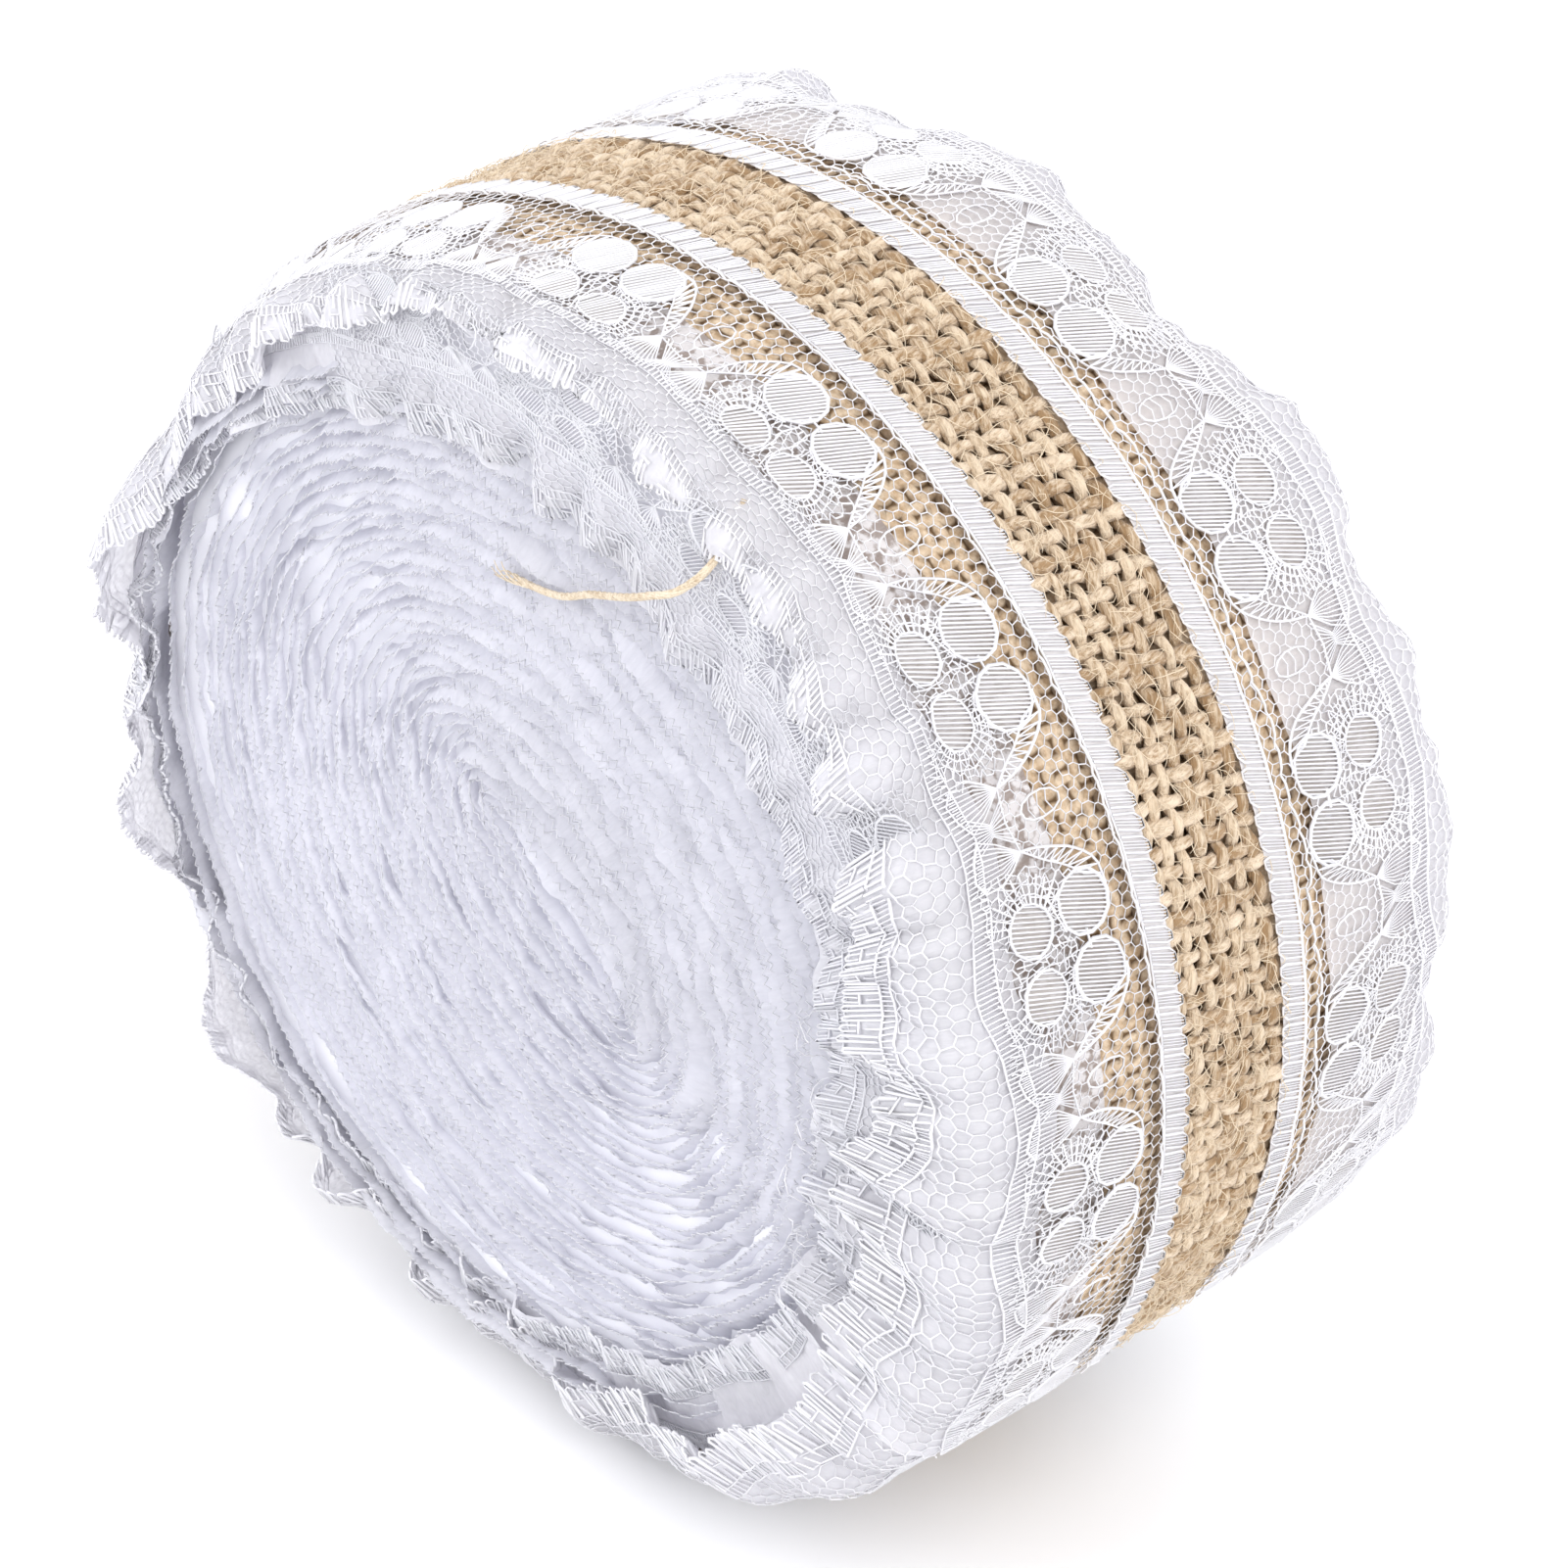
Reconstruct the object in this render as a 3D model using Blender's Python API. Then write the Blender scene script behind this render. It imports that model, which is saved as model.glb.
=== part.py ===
"""Roll of hessian ribbon with a lace edging sewn along each side, standing on its rim.

Metres, +Z up. The roll's axis runs along Y and its near face looks towards -Y. The origin
is at the middle of the small flat spot that the roll rests on.

Pieces, each a solid of its own:
  hessian_roll  the wound hessian ribbon, with its cut end as a step in the rim
  lace_near     the near lace edging: a band on the rim and the folds that curl over the face
  lace_far      the far lace edging, made in the same way
  yarn_end      a loose hessian yarn that lies over the near face
"""

import math

import bmesh
import bpy
from mathutils import Vector

# Ribbon
HESSIAN_WIDTH = 0.0450
STRIP_WIDTH = 0.0108
TURN_PITCH = 0.0012

# Roll
ROLL_RADIUS = 0.0630
CENTRE_HEIGHT = 0.0608
END_DIRECTION = 120.0
LACE_THICKNESS = 0.0010
GAP = 0.0003
RECESS = LACE_THICKNESS + GAP
SHOULDER_START = 0.0160
SHOULDER_DROP = 0.0040

# How much of a stand-off goes along the axis at the shoulder, and inwards at the edge
SHOULDER_STAND = 0.6
EDGE_STAND = 0.4

# The rim is pressed a little flat where the ribbon was wound tightest
PRESSED_DIRECTION = 340.0
PRESSED_WIDTH = 34.0
PRESSED_DEPTH = 0.0014

# The innermost turns sit above the roll's axis, because the slack hangs down
CORE_SHIFT = Vector((-0.0010, 0.0, 0.0055))
CORE_SHIFT_RADIUS = 0.050

SECTIONS = 100
SHARP_ANGLE = 40.0

# The last section's distance before the ribbon's end, in part of a section's own step
END_STEP = 0.2

# Lace folds by direction, in degrees clockwise from the top as seen from the near side.
# reach is how far the folds stand from the roll's middle plane, shoulder is how far the
# rim's edge is drawn in, and skirt is how much further the outermost edge flares out.
NEAR_FOLDS = (
    # direction, reach, shoulder, skirt
    (0.0, 0.0300, 0.0004, 0.0000),
    (18.0, 0.0306, 0.0002, 0.0000),
    (38.0, 0.0312, 0.0000, 0.0004),
    (60.0, 0.0320, 0.0003, 0.0000),
    (84.0, 0.0315, 0.0006, 0.0004),
    (108.0, 0.0310, 0.0002, 0.0002),
    (128.0, 0.0306, 0.0006, 0.0018),
    (142.0, 0.0310, 0.0012, 0.0026),
    (160.0, 0.0292, 0.0030, 0.0004),
    (182.0, 0.0280, 0.0046, 0.0000),
    (200.0, 0.0282, 0.0048, 0.0006),
    (215.0, 0.0290, 0.0036, 0.0022),
    (229.0, 0.0298, 0.0026, 0.0040),
    (241.0, 0.0286, 0.0042, 0.0002),
    (256.0, 0.0306, 0.0030, 0.0060),
    (269.0, 0.0290, 0.0044, 0.0004),
    (285.0, 0.0312, 0.0030, 0.0078),
    (299.0, 0.0286, 0.0058, 0.0002),
    (318.0, 0.0288, 0.0048, 0.0004),
    (340.0, 0.0290, 0.0026, 0.0000),
)
FAR_FOLDS = (
    # direction, reach, shoulder, skirt
    (10.0, 0.0298, 0.0014, 0.0004),
    (27.0, 0.0266, 0.0022, 0.0000),
    (42.0, 0.0318, 0.0000, 0.0018),
    (54.0, 0.0306, 0.0002, 0.0004),
    (66.0, 0.0318, 0.0000, 0.0014),
    (80.0, 0.0322, 0.0000, 0.0022),
    (93.0, 0.0302, 0.0006, 0.0004),
    (106.0, 0.0334, 0.0000, 0.0036),
    (122.0, 0.0300, 0.0006, 0.0004),
    (150.0, 0.0290, 0.0024, 0.0010),
    (180.0, 0.0280, 0.0040, 0.0000),
    (205.0, 0.0300, 0.0026, 0.0022),
    (232.0, 0.0286, 0.0032, 0.0000),
    (258.0, 0.0306, 0.0020, 0.0030),
    (284.0, 0.0284, 0.0026, 0.0000),
    (308.0, 0.0302, 0.0016, 0.0016),
    (331.0, 0.0312, 0.0000, 0.0020),
    (352.0, 0.0256, 0.0026, 0.0000),
)

# The folds' outline over the shoulder and the face. drop is how far a ring lies inside the
# rim, in part of the whole radius. depth is how far it lies behind the folds' reach. own is
# the share of its direction's own reach that the ring keeps, and flare its share of the skirt.
FACE_RINGS = (
    # drop, depth, own, flare
    (0.000, 0.0126, 1.0, 0.0),
    (0.010, 0.0078, 1.0, 0.0),
    (0.034, 0.0046, 1.0, 0.1),
    (0.072, 0.0018, 1.0, 0.5),
    (0.120, 0.0002, 1.0, 0.9),
    (0.160, 0.0000, 1.0, 1.0),
    (0.205, 0.0006, 0.9, 0.4),
    (0.225, 0.0022, 0.8, 0.0),
    (0.310, 0.0016, 0.6, 0.0),
    (0.335, 0.0030, 0.5, 0.0),
    (0.480, 0.0030, 0.3, 0.0),
    (0.660, 0.0034, 0.1, 0.0),
    (0.840, 0.0040, 0.0, 0.0),
    (0.950, 0.0046, 0.0, 0.0),
)

# Drops by which the step at the ribbon's end has faded out and the shoulder is fully drawn in
STEP_FADE = 0.2
SHOULDER_FADE = 0.034

# Loose yarn: direction, distance from the axis and distance from the middle plane
YARN_DIAMETER = 0.0011
YARN_POINTS = 16
ROUTE_STEPS = 24
YARN_ROUTE = (
    # direction, radius, reach
    (26.5, 0.0622, 0.0250),
    (28.8, 0.0592, 0.0290),
    (28.6, 0.0560, 0.0314),
    (26.6, 0.0530, 0.0320),
    (24.0, 0.0496, 0.0316),
    (18.5, 0.0440, 0.0299),
    (11.5, 0.0388, 0.0286),
    (358.5, 0.0360, 0.0278),
)

COLOURS = {
    "hessian": ((0.585, 0.432, 0.245, 1.0), 0.92),
    "lace_white": ((0.860, 0.868, 0.900, 1.0), 0.80),
    "yarn": ((0.730, 0.575, 0.360, 1.0), 0.88),
}


def clear_scene() -> None:
    """Remove everything that the file opened with."""
    for item in list(bpy.data.objects):
        bpy.data.objects.remove(item, do_unlink=True)


def make_collection(name: str) -> bpy.types.Collection:
    """Make a collection in the scene."""
    collection = bpy.data.collections.new(name)
    bpy.context.scene.collection.children.link(collection)
    return collection


def make_material(name: str) -> bpy.types.Material:
    """Make a plain cloth material in one of the named colours."""
    colour, roughness = COLOURS[name]
    material = bpy.data.materials.new(name)
    material.use_nodes = True
    shader = material.node_tree.nodes["Principled BSDF"]
    shader.inputs["Base Color"].default_value = colour
    shader.inputs["Roughness"].default_value = roughness
    shader.inputs["Metallic"].default_value = 0.0
    return material


def turn_between(direction: float, start: float) -> float:
    """Degrees from start round to direction, clockwise."""
    return (direction - start) % 360.0


def rim_radius(direction: float, step_share: float = 1.0) -> float:
    """Radius of the outermost turn, which steps down where the ribbon ends."""
    wound = turn_between(direction, END_DIRECTION) / 360.0
    away = (direction - PRESSED_DIRECTION + 180.0) % 360.0 - 180.0
    pressed = PRESSED_DEPTH * math.exp(-((away / PRESSED_WIDTH) ** 2))
    return ROLL_RADIUS - TURN_PITCH * (1.0 - wound) * step_share - pressed


def roll_point(direction: float, radius: float, y: float, floor: float = 0.0) -> Vector:
    """A point of the roll, kept at or above the floor height."""
    angle = math.radians(direction)
    height = CENTRE_HEIGHT + radius * math.cos(angle)
    return Vector((radius * math.sin(angle), y, max(height, floor)))


def section_directions() -> list[float]:
    """Directions of the sections round the roll, with one on each side of the ribbon's end."""
    step = 360.0 / SECTIONS
    turns = [END_DIRECTION + step * index for index in range(SECTIONS)]
    turns.append(END_DIRECTION + 360.0 - step * END_STEP)
    return turns


def folds_at(table: tuple, direction: float) -> tuple[float, float, float]:
    """Reach, shoulder and skirt at a direction, eased between the rows of a folds table."""
    count = len(table)
    for index, row in enumerate(table):
        following = table[(index + 1) % count]
        span = turn_between(following[0], row[0])
        along = turn_between(direction, row[0])
        if along < span:
            ease = 0.5 - 0.5 * math.cos(math.pi * along / span)
            return tuple(a + (b - a) * ease for a, b in zip(row[1:], following[1:]))
    return table[0][1:]


def core_shift(radius: float) -> Vector:
    """How far a ring of the face is moved with the innermost turns."""
    share = max(0.0, 1.0 - radius / CORE_SHIFT_RADIUS)
    return CORE_SHIFT * share


def mean_reach(table: tuple) -> float:
    """The folds' mean distance from the roll's middle plane."""
    return sum(row[1] for row in table) / len(table)


def face_point(table: tuple, side: float, row: tuple, direction: float) -> Vector:
    """A point of one ring of the lace's outer surface."""
    drop, depth, own, flare = row
    reach, shoulder, skirt = folds_at(table, direction)
    step_share = max(0.0, 1.0 - drop / STEP_FADE)
    drawn_in = shoulder * min(1.0, drop / SHOULDER_FADE)
    radius = rim_radius(direction, step_share) * (1.0 - drop) - drawn_in
    stand = mean_reach(table) * (1.0 - own) + reach * own
    return roll_point(direction, radius, side * (stand - depth + skirt * flare)) + core_shift(radius)


def under_lace(direction: float, side: float, offset: float) -> list[Vector]:
    """The line from the strip to the hessian's edge, with offset standing off from it."""
    rim = rim_radius(direction) - RECESS + offset
    edge = HESSIAN_WIDTH * 0.5 + offset
    floor = RECESS - offset
    return [
        roll_point(direction, rim, side * (STRIP_WIDTH * 0.5 + offset), floor),
        roll_point(direction, rim, side * (SHOULDER_START + offset * SHOULDER_STAND), floor),
        roll_point(direction, rim - SHOULDER_DROP - offset * EDGE_STAND, side * edge, floor),
    ]


def add_closed_loft(name: str, sections: list, ends: list) -> bpy.types.Mesh:
    """Loft sections round the roll's axis, and close each side on one of the two end points.

    A section's points run from the first end to the second.
    """
    mesh = bmesh.new()
    rings = [[mesh.verts.new(point) for point in section] for section in sections]
    caps = [mesh.verts.new(point) for point in ends]
    for index, ring in enumerate(rings):
        following = rings[(index + 1) % len(rings)]
        for low in range(len(ring) - 1):
            mesh.faces.new((ring[low], ring[low + 1], following[low + 1], following[low]))
        mesh.faces.new((caps[0], ring[0], following[0]))
        mesh.faces.new((ring[-1], caps[1], following[-1]))
    bmesh.ops.triangulate(mesh, faces=[face for face in mesh.faces if len(face.verts) == 4])
    data = bpy.data.meshes.new(name)
    mesh.to_mesh(data)
    mesh.free()
    return data


def place_mesh(data: bpy.types.Mesh, name: str, parts: bpy.types.Collection) -> None:
    """Shade a lofted mesh and put it in the parts as an object."""
    data.shade_smooth()
    data.set_sharp_from_angle(angle=math.radians(SHARP_ANGLE))
    parts.objects.link(bpy.data.objects.new(name, data))


def add_hessian_roll(parts: bpy.types.Collection) -> None:
    """The wound hessian, with the bare strip standing up to the lace beside it."""
    half = STRIP_WIDTH * 0.5
    sections = []
    for direction in section_directions():
        rim = rim_radius(direction)
        strip = [roll_point(direction, rim, half), roll_point(direction, rim, -half)]
        far = under_lace(direction, 1.0, 0.0)[::-1]
        sections.append(far + strip + under_lace(direction, -1.0, 0.0))
    ends = [
        Vector((0.0, HESSIAN_WIDTH * 0.5, CENTRE_HEIGHT)),
        Vector((0.0, -HESSIAN_WIDTH * 0.5, CENTRE_HEIGHT)),
    ]
    data = add_closed_loft("hessian_roll", sections, ends)
    data.materials.append(make_material("hessian"))
    place_mesh(data, "hessian_roll", parts)


def add_lace(parts: bpy.types.Collection, name: str, table: tuple, side: float) -> None:
    """One lace edging: side is -1 for the near one and +1 for the far one."""
    sections = []
    for direction in section_directions():
        inside = under_lace(direction, side, GAP)[::-1]
        start = roll_point(direction, rim_radius(direction), side * (STRIP_WIDTH * 0.5 + GAP))
        outside = [face_point(table, side, row, direction) for row in FACE_RINGS]
        section = [*inside, start, *outside]
        sections.append(section if side < 0.0 else section[::-1])
    face_depth = side * (mean_reach(table) - FACE_RINGS[-1][1])
    face_centre = Vector((0.0, face_depth, CENTRE_HEIGHT)) + core_shift(0.0)
    back_centre = Vector((0.0, side * (HESSIAN_WIDTH * 0.5 + GAP), CENTRE_HEIGHT))
    ends = [back_centre, face_centre]
    data = add_closed_loft(name, sections, ends if side < 0.0 else ends[::-1])
    data.materials.append(bpy.data.materials.get("lace_white") or make_material("lace_white"))
    place_mesh(data, name, parts)


def smooth_route(points: list[Vector], count: int) -> list[Vector]:
    """Evenly spaced points of a smooth curve through the route's own points."""
    padded = [points[0] * 2.0 - points[1], *points, points[-1] * 2.0 - points[-2]]
    fine = []
    for index in range(1, len(padded) - 2):
        before, start, end, after = padded[index - 1:index + 3]
        for step in range(ROUTE_STEPS):
            t = step / ROUTE_STEPS
            fine.append(0.5 * (
                2.0 * start
                + (end - before) * t
                + (2.0 * before - 5.0 * start + 4.0 * end - after) * t ** 2
                + (3.0 * start - before - 3.0 * end + after) * t ** 3
            ))
    fine.append(points[-1])
    lengths = [0.0]
    for previous, point in zip(fine, fine[1:]):
        lengths.append(lengths[-1] + (point - previous).length)
    route = []
    for number in range(count):
        wanted = lengths[-1] * number / (count - 1)
        index = next((i for i, length in enumerate(lengths) if length >= wanted), len(lengths) - 1)
        low = max(0, index - 1)
        span = lengths[index] - lengths[low]
        share = (wanted - lengths[low]) / span if span > 0.0 else 0.0
        route.append(fine[low].lerp(fine[index], share))
    return route


def add_yarn(parts: bpy.types.Collection) -> None:
    """The loose yarn as a plain tube along its route."""
    route = [roll_point(direction, radius, -reach) for direction, radius, reach in YARN_ROUTE]
    curve = bpy.data.curves.new("yarn_end", "CURVE")
    curve.dimensions = "3D"
    curve.bevel_depth = YARN_DIAMETER * 0.5
    curve.bevel_resolution = 2
    curve.use_fill_caps = True
    points = smooth_route(route, YARN_POINTS)
    spline = curve.splines.new("POLY")
    spline.points.add(len(points) - 1)
    for point, place in zip(spline.points, points):
        point.co = (*place, 1.0)
    curve.materials.append(make_material("yarn"))
    parts.objects.link(bpy.data.objects.new("yarn_end", curve))


def main() -> None:
    """Build the roll."""
    clear_scene()
    parts = make_collection("lace_edged_hessian_roll")
    add_hessian_roll(parts)
    add_lace(parts, "lace_near", NEAR_FOLDS, -1.0)
    add_lace(parts, "lace_far", FAR_FOLDS, 1.0)
    add_yarn(parts)


main()
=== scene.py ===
"""Roll of hessian ribbon with a gathered lace edging sewn along each side.

The roll stands on its rim. Its axis runs along Y and the near face looks towards -Y.
Sizes in this file are in millimetres and degrees unless a name says otherwise. Directions
round the roll run clockwise from the top as seen from the near side, and a ribbon's
direction keeps counting through its turns, up to the cut at FORM.end_direction.
"""

import itertools
import logging
import math
from collections.abc import Callable
from dataclasses import dataclass, field, replace
from enum import Enum

import bpy
import numpy as np
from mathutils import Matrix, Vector

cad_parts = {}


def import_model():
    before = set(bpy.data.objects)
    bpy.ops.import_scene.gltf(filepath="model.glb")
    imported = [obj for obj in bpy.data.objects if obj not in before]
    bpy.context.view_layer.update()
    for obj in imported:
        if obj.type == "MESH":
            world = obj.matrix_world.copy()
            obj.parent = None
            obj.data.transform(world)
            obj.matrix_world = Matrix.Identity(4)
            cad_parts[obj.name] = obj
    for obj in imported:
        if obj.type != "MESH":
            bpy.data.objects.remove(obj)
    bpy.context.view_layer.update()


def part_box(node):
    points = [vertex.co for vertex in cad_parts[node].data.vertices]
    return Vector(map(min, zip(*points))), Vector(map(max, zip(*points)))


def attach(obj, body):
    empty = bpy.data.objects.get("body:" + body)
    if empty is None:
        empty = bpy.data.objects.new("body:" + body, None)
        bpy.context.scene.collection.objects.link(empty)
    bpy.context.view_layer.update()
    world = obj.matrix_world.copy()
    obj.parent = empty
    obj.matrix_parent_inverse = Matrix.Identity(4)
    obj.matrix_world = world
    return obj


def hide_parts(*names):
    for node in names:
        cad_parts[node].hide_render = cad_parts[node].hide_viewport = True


MM = 0.001
FULL_TURN = 360.0
BODY = "root"
# names of what the meshes carry
WIDTH_ATTRIBUTE = "width"
GUIDE_MAP = "guide"
OUTWARD = "outward"
LAID = "laid"
SHADE = "shade"
# height of the roll's axis in metres, and the radii that turn directions into lengths
FORM_CENTRE = 60.8 * MM
STRIP_RADIUS = 62.0
LACE_RADIUS = 60.0
# how cloth takes light, and how streaks lean across a yarn and are drawn out along it
CLOTH_SHINE = 0.25
SHEEN_SPREAD = 0.5
STREAK_LEAN = 0.30
STREAK_PULL = 0.12
HALF_GREY = (0.5, 0.5, 0.5)
# points of a drawn oval and of the ground behind it, and how far grounds stop short of the cut
OVAL_CORNERS = 12
PETAL_CORNERS = 14
CUT_MARGIN = 0.6
TINY = 1e-12

log = logging.getLogger("roll")


class Side(Enum):
    """The two sides of the ribbon, by the sign of their place along the roll's axis."""

    NEAR = -1.0
    FAR = 1.0


# --------------------------------------------------------------------------- helpers


class Ripple:
    """Smooth, repeatable unevenness: a sum of waves with seeded phases."""

    def __init__(self, seed: int, lengths: tuple[float, float], across: float = 0.0,
                 waves: int = 14) -> None:
        """Choose the waves.

        Args:
            seed: number that fixes the waves.
            lengths: shortest and longest wave along the first coordinate.
            across: how strongly the waves also turn with the second coordinate.
            waves: how many waves are summed.
        """
        rng = np.random.default_rng(seed)
        low, high = lengths
        self.along = 2.0 * math.pi / np.exp(rng.uniform(math.log(low), math.log(high), waves))
        self.across = rng.normal(0.0, 1.0, waves) * across
        self.phase = rng.uniform(0.0, 2.0 * math.pi, waves)
        self.scale = math.sqrt(2.0 / waves)

    def at(self, first: np.ndarray, second: np.ndarray | float = 0.0) -> np.ndarray:
        """Unevenness with a mean of 0 and a spread of about 1.

        Args:
            first: first coordinate.
            second: second coordinate.

        Returns:
            An array of the coordinates' common shape.
        """
        first, second = np.broadcast_arrays(np.asarray(first, float), np.asarray(second, float))
        total = np.zeros(first.shape)
        for along, across, phase in zip(self.along, self.across, self.phase):
            total += np.sin(first * along + second * across + phase)
        return total * self.scale


def eased(low: float, high: float, value: np.ndarray) -> np.ndarray:
    """A smooth step.

    Args:
        low: value at which the step leaves 0.
        high: value at which it reaches 1.
        value: where it is read.

    Returns:
        Shares from 0 to 1.
    """
    share = np.clip((np.asarray(value, float) - low) / (high - low), 0.0, 1.0)
    return share * share * (3.0 - 2.0 * share)


def round_the_roll(rows: tuple, direction: np.ndarray) -> np.ndarray:
    """Columns of a table by direction, eased between its rows.

    Args:
        rows: rows that start with a direction, in rising order within one turn.
        direction: directions to read, any number of turns away.

    Returns:
        One row of columns for each direction.
    """
    table = np.array(rows, float)
    stops = np.concatenate([table[:, 0], [table[0, 0] + FULL_TURN]])
    values = np.concatenate([table[:, 1:], table[:1, 1:]])
    at = (np.asarray(direction, float) - stops[0]) % FULL_TURN + stops[0]
    index = np.clip(np.searchsorted(stops, at, side="right") - 1, 0, len(stops) - 2)
    share = (at - stops[index]) / (stops[index + 1] - stops[index])
    ease = (0.5 - 0.5 * np.cos(np.pi * share))[:, None]
    return values[index] * (1.0 - ease) + values[index + 1] * ease


def lengths_along(line: np.ndarray) -> np.ndarray:
    """How far along a line each of its points lies."""
    return np.concatenate([[0.0], np.cumsum(np.linalg.norm(np.diff(line, axis=0), axis=1))])


def smooth_line(points: list, count: int) -> np.ndarray:
    """Evenly spaced points of a smooth curve through given ones.

    Args:
        points: points that the curve passes.
        count: how many points are wanted.

    Returns:
        An array of points.
    """
    given = np.array(points, float)
    padded = np.vstack([2 * given[0] - given[1], given, 2 * given[-1] - given[-2]])
    fine = []
    for index in range(1, len(padded) - 2):
        before, start, end, after = padded[index - 1:index + 3]
        t = np.linspace(0.0, 1.0, 16, endpoint=False)[:, None]
        fine.append(0.5 * (
            2 * start + (end - before) * t
            + (2 * before - 5 * start + 4 * end - after) * t ** 2
            + (3 * start - before - 3 * end + after) * t ** 3
        ))
    fine.append(given[-1:])
    fine = np.vstack(fine)
    lengths = lengths_along(fine)
    wanted = np.linspace(0.0, lengths[-1], count)
    return np.stack([np.interp(wanted, lengths, fine[:, k]) for k in range(fine.shape[1])], axis=1)


def points_of(*places: np.ndarray | float) -> np.ndarray:
    """Points from their places along each direction; one number can hold for all of them."""
    return np.stack(np.broadcast_arrays(*places), axis=1)


def oval(centre: tuple, half: tuple, corners: int) -> np.ndarray:
    """Points round an oval."""
    angle = np.linspace(0.0, 2.0 * math.pi, corners, endpoint=False)
    return np.array(centre) + np.array(half) * points_of(np.cos(angle), np.sin(angle))


def make_mesh(name: str, points: np.ndarray | list, faces: np.ndarray | list) -> bpy.types.Mesh:
    """A smooth mesh from points in metres and faces with any numbers of corners."""
    mesh = bpy.data.meshes.new(name)
    faces = faces if isinstance(faces, list) else faces.tolist()
    mesh.from_pydata(np.asarray(points).tolist(), [], faces)
    mesh.update()
    mesh.shade_smooth()
    return mesh


def mark_points(mesh: bpy.types.Mesh, name: str, values: np.ndarray | list) -> None:
    """Store a number or a vector for each of a mesh's points."""
    values = np.asarray(values, np.float32)
    kind, key = ("FLOAT", "value") if values.ndim == 1 else ("FLOAT_VECTOR", "vector")
    mesh.attributes.new(name, kind, "POINT").data.foreach_set(key, values.reshape(-1))


def chart_faces(mesh: bpy.types.Mesh, values: np.ndarray | list) -> None:
    """Give a mesh its own map, from two numbers for each corner of each face."""
    layer = mesh.uv_layers.new(name=GUIDE_MAP)
    layer.data.foreach_set("uv", np.asarray(values, np.float32).reshape(-1))


def closed_rings(rings: list, ends: tuple, flipped: bool) -> tuple[np.ndarray, list]:
    """Points and faces of a closed form made of rings of points.

    Args:
        rings: rings of points, from one end of the form to the other.
        ends: the point in the middle of each end.
        flipped: whether the rings run so that the faces have to be turned.

    Returns:
        The points and the faces.
    """
    count = len(rings[0])
    faces = []
    first, last = len(rings) * count, len(rings) * count + 1
    for index in range(count):
        after = (index + 1) % count
        for ring in range(len(rings) - 1):
            low, high = ring * count, (ring + 1) * count
            faces.append([low + index, low + after, high + after, high + index])
        top = (len(rings) - 1) * count
        faces.append([top + index, top + after, last])
        faces.append([after, index, first])
    if flipped:
        faces = [face[::-1] for face in faces]
    return np.concatenate([*rings, np.reshape(ends, (2, 3))]), faces


def add_object(name: str, data: bpy.types.ID) -> bpy.types.Object:
    """Put a mesh, a camera or a light in the scene as an object."""
    made = bpy.data.objects.new(name, data)
    bpy.context.scene.collection.objects.link(made)
    return made


def drop_object(item: bpy.types.Object) -> None:
    """Remove a working object with its mesh."""
    data = item.data
    bpy.data.objects.remove(item, do_unlink=True)
    if data is not None and data.users == 0:
        bpy.data.meshes.remove(data)


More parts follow.
